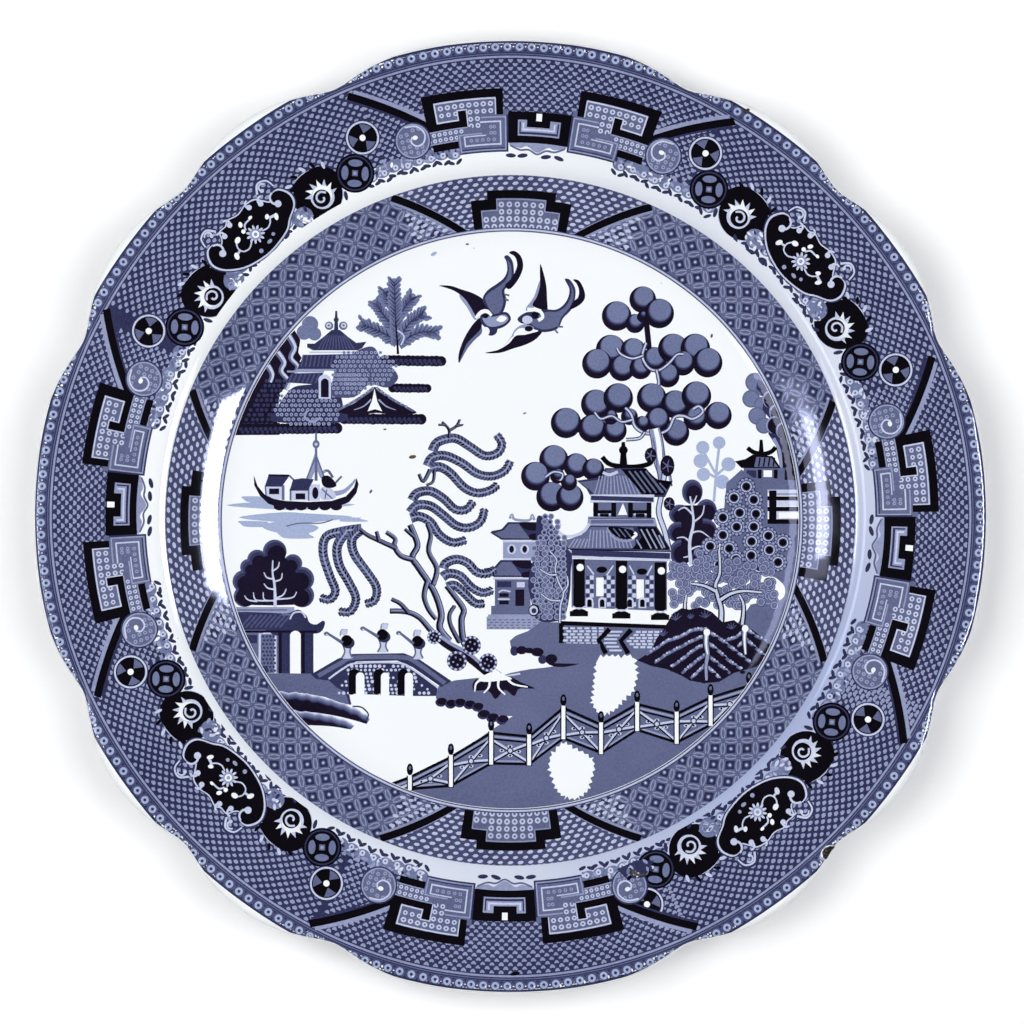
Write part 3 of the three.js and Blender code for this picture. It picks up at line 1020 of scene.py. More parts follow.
def drawBoat(ink):
    for x0, x1, y, tall in (
        (-76.4, -41.6, 3, 1.2), (-71.6, -64, 4.6, 0.8), (-73, -42.4, -0.3, 1.4), (-66.5, -51.6, -3, 1.6),
        (-72.4, -65, -2, 0.8), (-46, -40.4, -0.8, 0.6), (-62, -54, -5, 0.9),
    ):
        middle = (x0 + x1) / 2
        ink("wash", loop((x0, y), (middle - 4, y + tall), (middle + 3, y + tall * 0.8), (x1, y + 0.2),
            (middle + 5, y - tall * 0.9), (middle - 2, y - tall)))
    ink("mid", stroke(0.35, (-60.2, -2.6), (-56.4, -1.8), (-51, -1.8), (-47.6, -0.8)))
    ink("pale", stroke(1.5, (-48.6, 6), (-45, 6.6), (-42.8, 8.4), (-41.6, 10), tip=0.4))
    # cabins
    ink("faint", box(-65.6, 4.6, -60.6, 8.1))
    ink("mid", stroke(0.4, (-65.8, 8), (-65.6, 5)), box(-61.4, 4.4, -60.7, 8.4))
    ink("deep", [(-66, 8), (-64.9, 11.2), (-59.2, 11.1), (-61.4, 8)])
    ink("night", stroke(0.5, (-65, 11.1), (-59.4, 11)), box(-64.8, 6, -62.1, 7.5))
    ink("mid", stroke(0.5, (-59.4, 11), (-58.2, 9.8)))
    ink("faint", box(-59.2, 4.3, -54.2, 7.2), box(-54.2, 4.2, -51.2, 8.6))
    ink("mid", box(-59.3, 4.3, -58.8, 7.4), box(-54.4, 4.2, -54, 8.4))
    ink("deep", [(-59.3, 6.9), (-58.4, 9.9), (-55.8, 10.3), (-52.8, 10), (-54.4, 6.9)])
    ink("night", box(-57.7, 4.6, -55.1, 6.2), disc(-52.4, 6.3, 0.85, 1.9))
    ink("faint", loop((-50.8, 7.8), (-48, 7.4), (-47, 5), (-50.8, 4.6)))
    ink("mid", stroke(0.4, (-50.6, 7.4), (-49.2, 6), (-47.8, 4.8)),
        stroke(0.35, (-49.4, 7.2), (-49.8, 4.8)))
    # hull with its scalloped keel
    ink("night", [(-68.9, 11), (-67.9, 8.2), (-66, 5.9), (-63.5, 4.7), (-60, 4.1), (-54, 3.9), (-48, 4.2),
        (-44.2, 5.4), (-42, 7.8), (-41.3, 10.4), (-40.8, 8.6), (-41.4, 6.2), (-43.4, 3.8), (-46.4, 2.6),
        (-62, 2.4), (-65, 3.4), (-67.3, 5.6), (-68.8, 8.4)])
    for x in (-62, -59, -56.2, -53, -49.8, -46.8):
        ink("night", disc(x, 2.7, 1.6, 0.68))
    # mast, stays and boatman
    ink("pale", [(-52.3, 17.6), (-54.8, 10.2), (-53.4, 10), (-52.2, 13), (-51, 10.2), (-49.8, 10.4)])
    ink("mid", stroke(0.55, (-52.2, 22.5), (-52.2, 9.6), tip=0.8), stroke(0.4, (-52.3, 16), (-54.7, 10.2)),
        stroke(0.4, (-52.1, 16), (-50, 10.6)), disc(-52.2, 19.4, 0.95, 1.2))
    ink("faint", disc(-52.2, 19.4, 0.4))
    ink("mid", stroke(0.7, (-50.4, 11.8), (-49, 12.3), (-47.7, 10.4)),
        stroke(0.55, (-47.8, 8.2), (-45.3, 10.8)))
    ink("night", loop((-50.6, 10.6), (-48.6, 10.8), (-46.7, 8.4), (-48.6, 7.6), (-50.4, 8.4)))


def drawRoundTree(ink):
    lobes = ((-63.3, -9.4, 3.2), (-58.4, -12.6, 2.5), (-68, -11.6, 2.7), (-70.4, -13.6, 2.2),
        (-56, -16.8, 3.3), (-71.6, -17.4, 3.0), (-55.9, -21.2, 3.2), (-71.4, -21.4, 2.9))
    for x, y, r in lobes:
        ink("deepmid", disc(x, y, r))
    for x, y, r in lobes:
        ink("deep", disc(x + (0.25 if x < -63 else -0.25), y - 0.3, r - 0.35))
    for x, y, r in lobes:
        ink("night", disc(x + (0.5 if x < -63 else -0.5), y - 0.7, r - 0.8))
    ink("night", loop((-72.6, -23.4), (-72.6, -19), (-70.4, -14.4), (-65.6, -10.6), (-60.6, -11),
        (-57.4, -15.4), (-55.4, -20), (-55.2, -23.4)))
    ink("faint", stroke(0.9, (-63.2, -24.6), (-63.2, -21), (-63.4, -18), (-63.9, -15), (-63.8, -11.8),
        tip=0.35))
    for points in (
        ((-63.5, -16.8), (-65.4, -16.4), (-66.2, -15)), ((-63.2, -17.4), (-61.6, -16.8), (-61.3, -15.2)),
        ((-63.8, -14.6), (-62.4, -13.6), (-62.1, -12.2)), ((-63.3, -19.6), (-65.2, -19.2), (-66.2, -18)),
        ((-63, -22), (-61, -21), (-60.2, -19.4)), ((-63, -22.2), (-58.6, -21.8), (-57.4, -20.2)),
        ((-63.2, -22.6), (-66, -22.4), (-66.4, -20.4)), ((-65, -22.6), (-68.4, -22.4), (-69, -20.4)),
        ((-68, -22.8), (-70.4, -22.4), (-71.4, -21.2)),
    ):
        ink("faint", stroke(0.5, *points, tip=0.25))


def ledge(ink, deep, *points):
    # a clump of turf: scalloped pale top, darker and darker below
    line = smooth(points, steps=6)
    bottom = [(x, y - deep * (1 - 0.62 * i / len(line))) for i, (x, y) in enumerate(line)]
    for k, tone in enumerate(("faint", "pale", "palemid", "mid", "deepmid", "deep", "night")):
        top = [(x, y - 0.32 * k + 0.5 * abs(math.sin(0.95 * x)) - 0.1) for x, y in line]
        ink(tone, top + [(line[-1][0] + 0.9 - 0.15 * k, line[-1][1] - deep * 0.2)] + bottom[::-1])


def drawHut(sheet):
    ink = sheet.ink
    ink("pale", box(-75, -26, -58, -24.3))
    ink("mid", box(-75, -25.3, -60, -24.9), box(-76, -42, -62, -30))
    ink("faint", box(-67.6, -42, -67, -31), box(-63.4, -42, -62.8, -31), box(-67.6, -31.6, -62.8, -31))
    for row in range(10):
        for column in range(4):
            ink("deep", disc(-66.4 + column * 0.95 + 0.3 * (row % 2), -32.2 - row * 1.02, 0.33))
    ink("deep", box(-72.6, -34, -68, -31.8))
    ink("deep", disc(-66, -41.2, 1.0, 1.1), loop((-74.6, -26), (-66, -25.8), (-60, -26), (-57, -25),
        (-54.8, -26.6), (-54, -28.4), (-52.2, -29), (-50.4, -28), (-49.8, -28.6), (-50.4, -30.4),
        (-52, -31.4), (-56, -31.4), (-63, -32), (-66, -30.4), (-74, -30.4)))
    hatch(sheet, "deepmid", 0.5, (-72.4, -29.8), (-69.4, -26.4), (1.3, 0), 9)
    ink("mid", box(-61.4, -26.6, -59, -26.1), box(-75, -31.4, -66.4, -30.4))
    ink("faint", stroke(0.45, (-59.2, -27.6), (-58.2, -25.9), (-56, -25.7), (-55, -27.2)))
    ink("deep", box(-62.3, -42.6, -59.2, -30), box(-56.3, -42.8, -52.9, -30))
    ink("night", box(-62.3, -42.6, -61.4, -31), box(-56.3, -42.8, -55.2, -31), box(-74, -31.2, -52, -30.6))
    ink("bare", box(-59.2, -41.6, -56.3, -32), disc(-57.75, -32.1, 1.45))
    # bank under it, three ledges with scalloped feet
    ink("mid", [(-68, -42), (-53, -42.2), (-48, -43), (-44.4, -45.6), (-43.2, -48), (-42.8, -50.6),
        (-45, -50.2), (-50, -48.4), (-56, -47.4), (-63, -47.4), (-70, -46)])
    ink("deep", stroke(0.6, (-52.6, -42.3), (-51, -43.5), (-47.6, -44), (-44.4, -46.6), (-43, -50.4)))
    ledge(ink, 5.6, (-66, -47), (-56, -47.6), (-48, -49.4), (-42, -51.6), (-38.6, -53.4))
    ledge(ink, 4.2, (-63, -51.8), (-55, -52.6), (-48, -53.8), (-42.8, -55.4))
    ink("deep", stroke(0.4, (-42.4, -51), (-40, -51.2), (-38.2, -53), (-38.6, -54.6)))


def drawBridge(ink):
    # masonry spandrel, three arches, deck
    ink("deep", [(-48.8, -44), (-45, -40.8), (-41, -39), (-30, -39), (-26, -41), (-19.6, -46.2),
        (-20, -48.2), (-27, -48.2), (-43, -47.6), (-46.6, -46)])
    for row, y in enumerate(steps(-47.4, -40.2, 1.1)):
        for x in steps(-46 + 0.4 * row, -22 - 0.9 * row, 1.2):
            if random.random() < 0.8:
                ink("faint", disc(x + 0.6 * (row % 2), y, random.uniform(0.3, 0.5)))
    top = -43
    for left, right in ((-41.5, -39.2), (-34.8, -32.6), (-28.4, -26.2)):
        ink("dark", box(left - 1.9, -47.6, left + 0.4, top + 0.6), disc(left - 0.4, top + 0.6, 1.5))
        ink("bare", box(left, -48.6, right, top), disc((left + right) / 2, top, (right - left) / 2))
        ink("dark", disc(left - 1.2, -47.4, 0.8, 0.6))
    deck = [(-53.6, -42.4), (-46.4, -38.2), (-42.4, -36.9), (-28.6, -36.7), (-24.4, -38.4),
        (-15.8, -44.2), (-18.6, -45.8), (-26.4, -40.4), (-30.4, -38.7), (-41.2, -38.9), (-45.4, -40.8),
        (-49.4, -44), (-52.2, -43.6)]
    ink("deep", deck)
    ink("mid", stroke(1.2, (-51.6, -42.8), (-45.6, -39.4), (-42, -37.9), (-29.2, -37.8), (-25, -39.4),
        (-17.6, -44.8)))
    ink("faint", stroke(0.5, (-48.8, -43.6), (-45, -40.9), (-41.4, -39.4), (-30.2, -39.3), (-26, -41.2),
        (-19.4, -46)))
    # three small figures crossing, each leaning on a staff
    for x, y, headX, staff in (
        (-44, -33.4, -44.6, (-49.4, -31.2)), (-34.4, -31.8, -33.7, (-39.6, -29.8)),
        (-25, -33.6, -24.9, (-30, -31)),
    ):
        ink("pale", stroke(0.5, (headX - 1.1, y + 1.4), (headX - 0.7, y + 2.9), (headX + 0.9, y + 2.8)))
        ink("faint", disc(headX, y + 2.3, 0.85), loop((x - 1, y - 1.4), (x + 1.4, y - 1.2),
            (x + 1, y - 3.4), (x + 1.6, y - 4.6), (x - 1.4, y - 4.6), (x - 0.4, y - 3)))
        ink("mid", stroke(0.45, (x - 0.9, y - 1.2), (x - 0.5, y - 3), (x - 1.3, y - 4.6)),
            stroke(0.45, (x + 1.3, y - 1.2), (x + 0.9, y - 3), (x + 1.5, y - 4.4)))
        ink("deep", disc(x + 0.3, y - 0.4, 1.9, 0.85, -20))
        ink("dark", disc(x, y + 0.1, 1.5, 1.0))
        ink("mid", stroke(0.9, (x - 1, y - 0.6), staff, tip=0.6), disc(staff[0], staff[1] - 0.3, 0.75, 0.8))
        ink("faint", disc(staff[0] + 0.1, staff[1] - 0.6, 0.3))


def scallopEdge(points, bite, pitch=1.3):
    # a line broken into small rounded teeth
    result = []
    for (ax, ay), (bx, by) in zip(points, points[1:]):
        length = math.hypot(bx - ax, by - ay)
        count = max(1, round(length / pitch))
        nx, ny = -(by - ay) / length * bite, (bx - ax) / length * bite
        for i in range(count):
            reach = random.uniform(0.4, 1.1)
            for t, out in ((0.0, 0), (0.45, 0.8), (0.6, 1), (0.8, 0.5)):
                s = (i + t) / count
                result.append((ax + (bx - ax) * s + nx * out * reach,
                    ay + (by - ay) * s + ny * out * reach))
    return result


def drawForeground(ink):
    ink("mid", [(-20, -48), (-19.4, -45.6), (-15, -44), (-9.6, -43.4), (-3, -43), (0, -42), (5, -41),
        (9, -40.6), (13, -40), (18, -39.4), (20, -36), (26, -35), (36, -36), (60, -30), (70, -16),
        (78, -10), (80, -40), (60, -70), (0, -82), (-40, -80), (-32, -71.6), (-16, -65), (-5.6, -57.6),
        (0.6, -53.6), (-8.4, -53.4), (-9.6, -50.6), (-20, -49)])
    # broken edge of the bank
    for x, y in ((-18.4, -49.6), (-15.8, -50.1), (-13.4, -49.8), (-10.8, -50.3), (-8.6, -50.9)):
        ink("deep", disc(x - 0.3, y - 0.3, 1.5, 0.8))
        ink("night", disc(x, y, 1.35, 0.7))
    for x, y in ((-7, -52.9), (-4.6, -53.8), (-2, -54.3)):
        ink("deep", disc(x - 0.4, y - 0.4, 1.5, 0.8))
        ink("night", disc(x, y, 1.5, 0.65))
    ink("night", loop((8, -37.2), (10, -38.6), (14, -38.6), (18, -38.9), (18.4, -39.6), (14, -40.4),
        (10.4, -39.8)))
    ink("faint", stroke(0.5, (-9, -44.6), (-2, -43), (2.6, -42.2)))
    # two worn patches of path
    first = [(22.6, -37), (22, -44), (21.2, -50), (24, -53.8), (26.6, -53.4), (30, -50.6), (33.4, -47),
        (34.6, -42), (33.8, -37)]
    second = [(13.6, -60.6), (10.8, -63), (9.8, -68), (11.6, -73), (14.4, -76), (18.6, -76.2),
        (21.6, -73), (22.8, -68), (22.4, -64.6), (15, -60.4)]
    for patch in (first, second):
        ink("bare", scallopEdge(patch + patch[:1], 1.0, 1.6))


def drawFence(ink):
    posts = ((-38, -78, -73.4), (-27, -73.6, -69.4), (-16, -72.8, -64), (-5.2, -66.8, -57.5),
        (5, -67, -58.5), (14.2, -60, -50.8), (24.3, -64, -55.3), (34, -57.8, -49.8), (44.6, -61.2, -52.4),
        (53.7, -56.4, -48), (64, -50.6, -44.8))
    for (ax, alow, ahigh), (bx, blow, bhigh) in zip(posts, posts[1:]):
        panel = [(ax, alow + 0.6), (bx, blow + 0.6), (bx, bhigh - 0.7), (ax, ahigh - 0.7)]
        ink("mid", panel)
        for top, tone, width in ((-0.6, "dark", 0.75), (-1.5, "pale", 0.5), (-2.2, "dark", 0.5)):
            ink(tone, stroke(width, (ax, ahigh + top), (bx, bhigh + top)))
        ink("dark", stroke(0.7, (ax, alow + 0.5), (bx, blow + 0.5)))
        ink("pale", stroke(0.45, (ax, alow + 1.2), (bx, blow + 1.2)))
        middle = ((ax + bx) / 2, (alow + ahigh + blow + bhigh) / 4 - 0.4)
        corners = [(ax + 0.6, alow + 1.4), (bx - 0.6, blow + 1.4), (bx - 0.6, bhigh - 2.6),
            (ax + 0.6, ahigh - 2.6)]
        for i, (cx, cy) in enumerate(corners):
            ink("faint", stroke(0.55, (cx, cy), middle))
            dx, dy = corners[(i + 1) % 4]
            ex, ey = (cx + dx + 2 * middle[0]) / 4, (cy + dy + 2 * middle[1]) / 4
            ink("faint", disc(ex, ey, 0.7, 0.6))
            ink("dark", stroke(0.35, (cx, cy - 0.6), (middle[0], middle[1] - 0.6)), disc(ex, ey, 0.3))
        ink("deep", disc(*middle, 0.9))
        ink("faint", disc(*middle, 0.55))
    for x, low, high in posts:
        ink("dark", box(x - 0.85, low, x + 0.85, high - 0.2), disc(x, high + 1.5, 0.85, 1.9))
        ink("bare", box(x - 0.52, low + 0.2, x + 0.52, high))
        ink("mid", disc(x, high + 1.9, 0.35, 1.6))


def drawAppleTree(ink):
    def apples(*rows):
        for x, y, r in rows:
            ink("night", disc(x - 0.1, y - 0.2, r))
            ink("deep", disc(x + 0.12, y + 0.55, r - 0.8))
            ink("mid", disc(x + 0.18, y + 0.75, r - 1.05))
            ink("palemid", disc(x + 0.22, y + 0.88, r - 1.25))

    def branch(width, *points):
        ink("deep", stroke(width + 0.6, *points))
        ink("faint", stroke(width, *points))

    ink("night", stroke(1.5, (36.4, 53), (37.2, 45)))
    apples((35.6, 58.4, 3.6), (40, 54.7, 4), (28.6, 54, 4), (33.5, 52, 2.6), (35.5, 53.8, 1.5))
    apples((27, 45, 4), (33, 44.7, 3.4), (23.3, 41.2, 4), (30, 40, 3.5), (35, 40, 3), (38.7, 42.3, 3.4),
        (43.7, 45.3, 4), (49.7, 45.3, 4), (53, 41.5, 4), (46.3, 41.3, 3.3), (42.3, 38, 3.2))
    branch(0.45, (36.4, 46.6), (35.4, 43), (37, 40), (39.6, 39.2), (42.4, 41), (44.6, 43.4), (46.4, 43.6))
    branch(0.4, (35.6, 43.2), (32.6, 42.4), (29.6, 43.6), (28.6, 45.2))
    branch(0.45, (39.2, 39.4), (39.8, 36.4), (39.6, 34))
    apples((23, 30.3, 4), (29, 32, 4), (38, 32, 4), (44.3, 30.3, 3.8), (50, 32.5, 4), (55.8, 27.3, 3.7),
        (15, 25.3, 4.1), (22, 23.8, 3.8), (28, 23.3, 3.3), (39.5, 26, 3.4), (49.7, 26.5, 3.2),
        (44.5, 22.7, 3.6), (32, 27, 2.3), (27, 26.8, 2), (35.5, 25, 2.2))
    branch(0.5, (38.8, 22.4), (36, 22.4), (33.4, 24.2), (32.4, 27.4), (30.8, 29.2))
    branch(0.5, (39.4, 22), (42.4, 23.4), (44, 26.6), (46.4, 27), (49, 26.2), (51.6, 28), (50.6, 29.6),
        (49, 28.8))
    branch(0.4, (32.8, 26), (29.8, 25.4), (27.2, 27), (24.2, 26.2), (22.6, 28))
    branch(0.4, (36, 22.6), (34.6, 21), (31, 20.6))
    # trunk, down past the roof
    trunk = ((38.6, 23.6), (39.4, 20), (40, 15.4), (41.2, 11.6), (41.6, 8))
    ink("deep", stroke(3.2, *trunk, tip=3.8))
    ink("pale", stroke(2.7, *trunk, tip=3.2))
    ink("bare", stroke(1.2, *[(x + 0.3, y) for x, y in trunk], tip=1.6))
    ink("mid", stroke(0.35, (38.2, 21), (39, 17), (39.4, 12)), stroke(0.3, (40.8, 18), (41, 14)))
    branch(1.0, (41.4, 12), (40.4, 5.4), (39.8, 1), (41.4, -4), (42.6, -9))
    apples((11.7, 15.5, 3.9), (6.8, 11, 3.9), (17.7, 13.8, 3.4), (22.3, 12.8, 3), (11, 5.5, 4),
        (16, 5.3, 3.7), (12.7, 11, 2), (15.8, 9.3, 2.2))
    branch(0.4, (9.4, 10.6), (11.6, 12), (14, 11.4), (13.2, 9.6), (11, 10.2), (14.6, 9.2), (18.6, 10.6),
        (22, 9.8))
    for x, y, rx, tall in ((37.6, 16.4, 1.6, 1.3), (42.1, 13.6, 1.9, 1.5), (42.6, 3.4, 1.5, 1.2)):
        ink("night", disc(x, y, rx, tall))
        for k in range(5):
            a = 1.3 + k * 1.2
            ink("mid", stroke(0.35, (x, y), (x + rx * 0.8 * math.cos(a), y + rx * 0.9 * math.sin(a)),
                tip=0.2))


def drawPagoda(sheet):
    ink = sheet.ink
    # crest and upper roof
    ink("dark", stroke(1.3, (24.6, 16), (26.2, 14.3), (28.4, 13.6), (33, 13.3), (36.6, 13.9), (38, 14.8)),
        stroke(0.9, (30.3, 20), (30.3, 13.4), tip=2.2), disc(30.3, 17.8, 1.2))
    ink("deep", [(17.8, 9.6), (20.4, 7.4), (21.6, 5.2), (41.5, 5.2), (43.6, 9.6), (40.6, 9.2),
        (38.6, 10.6), (36.2, 13), (25.4, 13), (24.6, 10.6)])
    ink("mid", [(18.6, 9.2), (21, 7.4), (22.6, 5.8), (36, 5.8), (32.4, 10.6), (29.4, 12.8), (25.8, 12.6),
        (24.6, 10)])
    for x in steps(22.6, 34.6, 1.1):
        ink("pale", stroke(0.32, (x, 6), (27 + (x - 27) * 0.7, 10.9)))
    ink("faint", stroke(0.8, (24.8, 11.8), (26.6, 11.2), (28.8, 12)))
    ink("dark", [(29.8, 12.6), (36.4, 12.9), (39, 10), (43.4, 9.4), (41, 5.8), (35.4, 5.8), (33.2, 8.6)])
    hatch(sheet, "mid", 0.5, (31.8, 12.2), (36.2, 6.4), (1.5, 0), 4)
    ink("mid", stroke(0.45, (38, 10.2), (41, 6.4)), stroke(0.4, (40, 9), (42, 6.8)))
    ink("faint", box(21.4, 3.7, 38.6, 5.9))
    ink("deep", stroke(1.2, (21.6, 5.0), (38.4, 4.5)))
    # upper storey with its balcony
    ink("mid", box(22.2, -0.8, 37.8, 3.8))
    for x in (22.9, 27.7, 32.2, 37.2):
        ink("dark", box(x - 0.65, -0.4, x + 0.65, 3.7))
    for x in (25.2, 34.8):
        ink("dark", box(x - 2.4, 0.8, x + 2.4, 1.7), box(x - 1.2, -0.2, x + 1.2, 0.7))
        ink("faint", box(x - 1.7, 0.3, x - 1.2, 0.8), box(x + 1.2, 0.3, x + 1.7, 0.8))
    ink("bare", [(30.2, 3.6), (31.4, 0.4), (28.8, 0.4)])
    ink("pale", [(20.8, 0), (38.8, -0.4), (39.4, -2.6), (20.6, -2.6)])
    ink("mid", box(21.6, -1.9, 38.4, -0.9))
    ink("deep", box(21, -0.6, 38.6, -0.3))
    # lower roof
    ink("deep", [(12, -6.6), (15.6, -6.2), (19, -5), (21, -2.4), (39.2, -2.6), (42.8, -8.4), (42.8, -9.2),
        (15, -9), (13.4, -7.6)])
    ink("mid", [(12.8, -6.6), (16, -6), (19.4, -4.8), (21.6, -2.8), (33, -3), (33.6, -8.6), (15.8, -8.6)])
    for x in steps(15.6, 32.6, 1.05):
        ink("pale", stroke(0.32, (x, -8.4), (24 + (x - 24) * 0.8, -3.6 if x > 20 else -6)))
    ink("faint", stroke(0.8, (13.6, -2.4), (12.6, -2.2), (12.6, -3.6), (14.4, -5.2), (17, -5.2),
        (19.6, -4), (21.2, -2)))
    ink("pale", stroke(0.5, (26, -3), (27.6, -5.6), (30.6, -6.6), (33.4, -6)))
    ink("dark", loop((26.3, -2.8), (27.6, -4.8), (30, -6), (32.6, -5.8), (33.2, -4.2), (31, -3.2)))
    hatch(sheet, "mid", 0.35, (27.6, -3.2), (29.4, -5.4), (1.5, -0.1), 3)
    ink("bare", stroke(0.7, (32.6, -5.9), (33.8, -4.9), (33.2, -4.3)))
    ink("dark", [(34, -2.8), (39, -2.9), (42.7, -8.8), (32.6, -8.8), (35.2, -5.6)])
    hatch(sheet, "pale", 0.42, (35, -3.4), (37.8, -8.6), (1.5, 0), 3)
    ink("pale", stroke(0.42, (33.8, -6.2), (35.2, -8.6)), stroke(0.42, (39.8, -5), (41.4, -8.4)))
    ink("faint", [(15, -8.8), (43, -9.2), (43, -12), (16, -11.2)])
    ink("dark", stroke(1.7, (16.4, -9.4), (25, -10.1), tip=1.6), stroke(0.3, (16, -8.9), (43, -9.4)))
    ink("deep", stroke(1.6, (16.4, -9.7), (42.8, -10.6)))
    # hall: chequered walls, doors, windows and three columns
    ink("mid", [(16.4, -11.4), (42, -12), (42, -25.4), (16.4, -24.4)])
    for left, right, doorX in ((20, 28.2, 24), (31.3, 38.6, 34.8)):
        for row, y in enumerate(steps(-16.4, -23.6, 1.2)):
            for column, x in enumerate(steps(left + 0.7, right - 0.7, 1.15)):
                if (row + column) % 2 and abs(x - doorX) > 1.2:
                    ink("faint", box(x - 0.5, y - 0.55, x + 0.5, y + 0.55))
                elif abs(x - doorX) > 1.2:
                    ink("deep", box(x - 0.4, y - 0.45, x + 0.4, y + 0.45))
        ink("faint", stroke(0.4, (left + 0.6, -13.2), (doorX - 1.6, -15.6)),
            stroke(0.4, (right - 0.6, -13.2), (doorX + 1.8, -15.8)))
        ink("dark", disc(doorX + 0.5, -14.3 if left < 25 else -14.8, 1.45, 0.6))
        ink("bare", box(doorX - 1, -21.4 if left < 25 else -22.1, doorX + 1, -16.4 if left < 25 else -16.9))
        for x in (doorX - 2.8, doorX + 0.6):
            ink("faint", disc(x, -22.6, 1.05, 0.9), box(x - 1.05, -24.6, x + 1.05, -22.6))
            ink("dark", disc(x, -22.8, 0.62, 0.9), box(x - 0.62, -24.3, x + 0.62, -22.8))
    ink("bare", [(14.5, -25), (41.6, -25.8), (41.6, -29.2), (14.5, -28.1)])
    for x, top, foot in ((18.4, -11.4, -24.4), (29.8, -11.9, -25), (40.2, -12.3, -25.4)):
        ink("dark", box(x - 1.55, foot, x + 1.55, top), box(x - 2.5, foot - 2.4, x + 2.4, foot - 1))
        ink("dark", disc(x, foot - 1.3, 2.1, 0.45))
        ink("faint", stroke(0.35, (x - 1.7, foot + 0.3), (x, foot - 0.4), (x + 1.7, foot + 0.3)))
        ink("bare", disc(x + 0.3, top - 2.3, 1.0))
    # terrace, brick base and steps
    ink("dark", stroke(1.15, (12.9, -28.6), (42, -29.7)), box(12.9, -34.2, 14.3, -28.4))
    ink("mid", [(14.3, -29.2), (42, -30.2), (42, -36.8), (30, -36.4), (14.3, -34.2)])
    for x0, x1, y0 in ((14.8, 25.4, -30), (31, 42, -31)):
        for row in range(6):
            for x in steps(x0 + 0.9 * (row % 2), x1 - 1, 1.75):
                if not (x0 > 20 and x < 31 + abs(row - 3)):
                    ink("faint", box(x - 0.7, y0 - row * 0.82 - 0.28, x + 0.6, y0 - row * 0.82 + 0.28))
    ink("mid", [(26.4, -30), (32, -30), (29.6, -33.2), (31.6, -36.6), (25.6, -36.6), (23.8, -33.2)])
    for row in range(6):
        lean = 0.7 * abs(row - 2.6)
        ink("faint", box(24.8 + lean, -31.2 - row, 28.2 + lean, -30.7 - row))
    ink("dark", stroke(1.35, (26.6, -30.2), (23.7, -33.2), (25.6, -36.8), curved=False),
        stroke(1.35, (32.4, -30.4), (29.6, -33.4), (31.6, -36.8), curved=False))


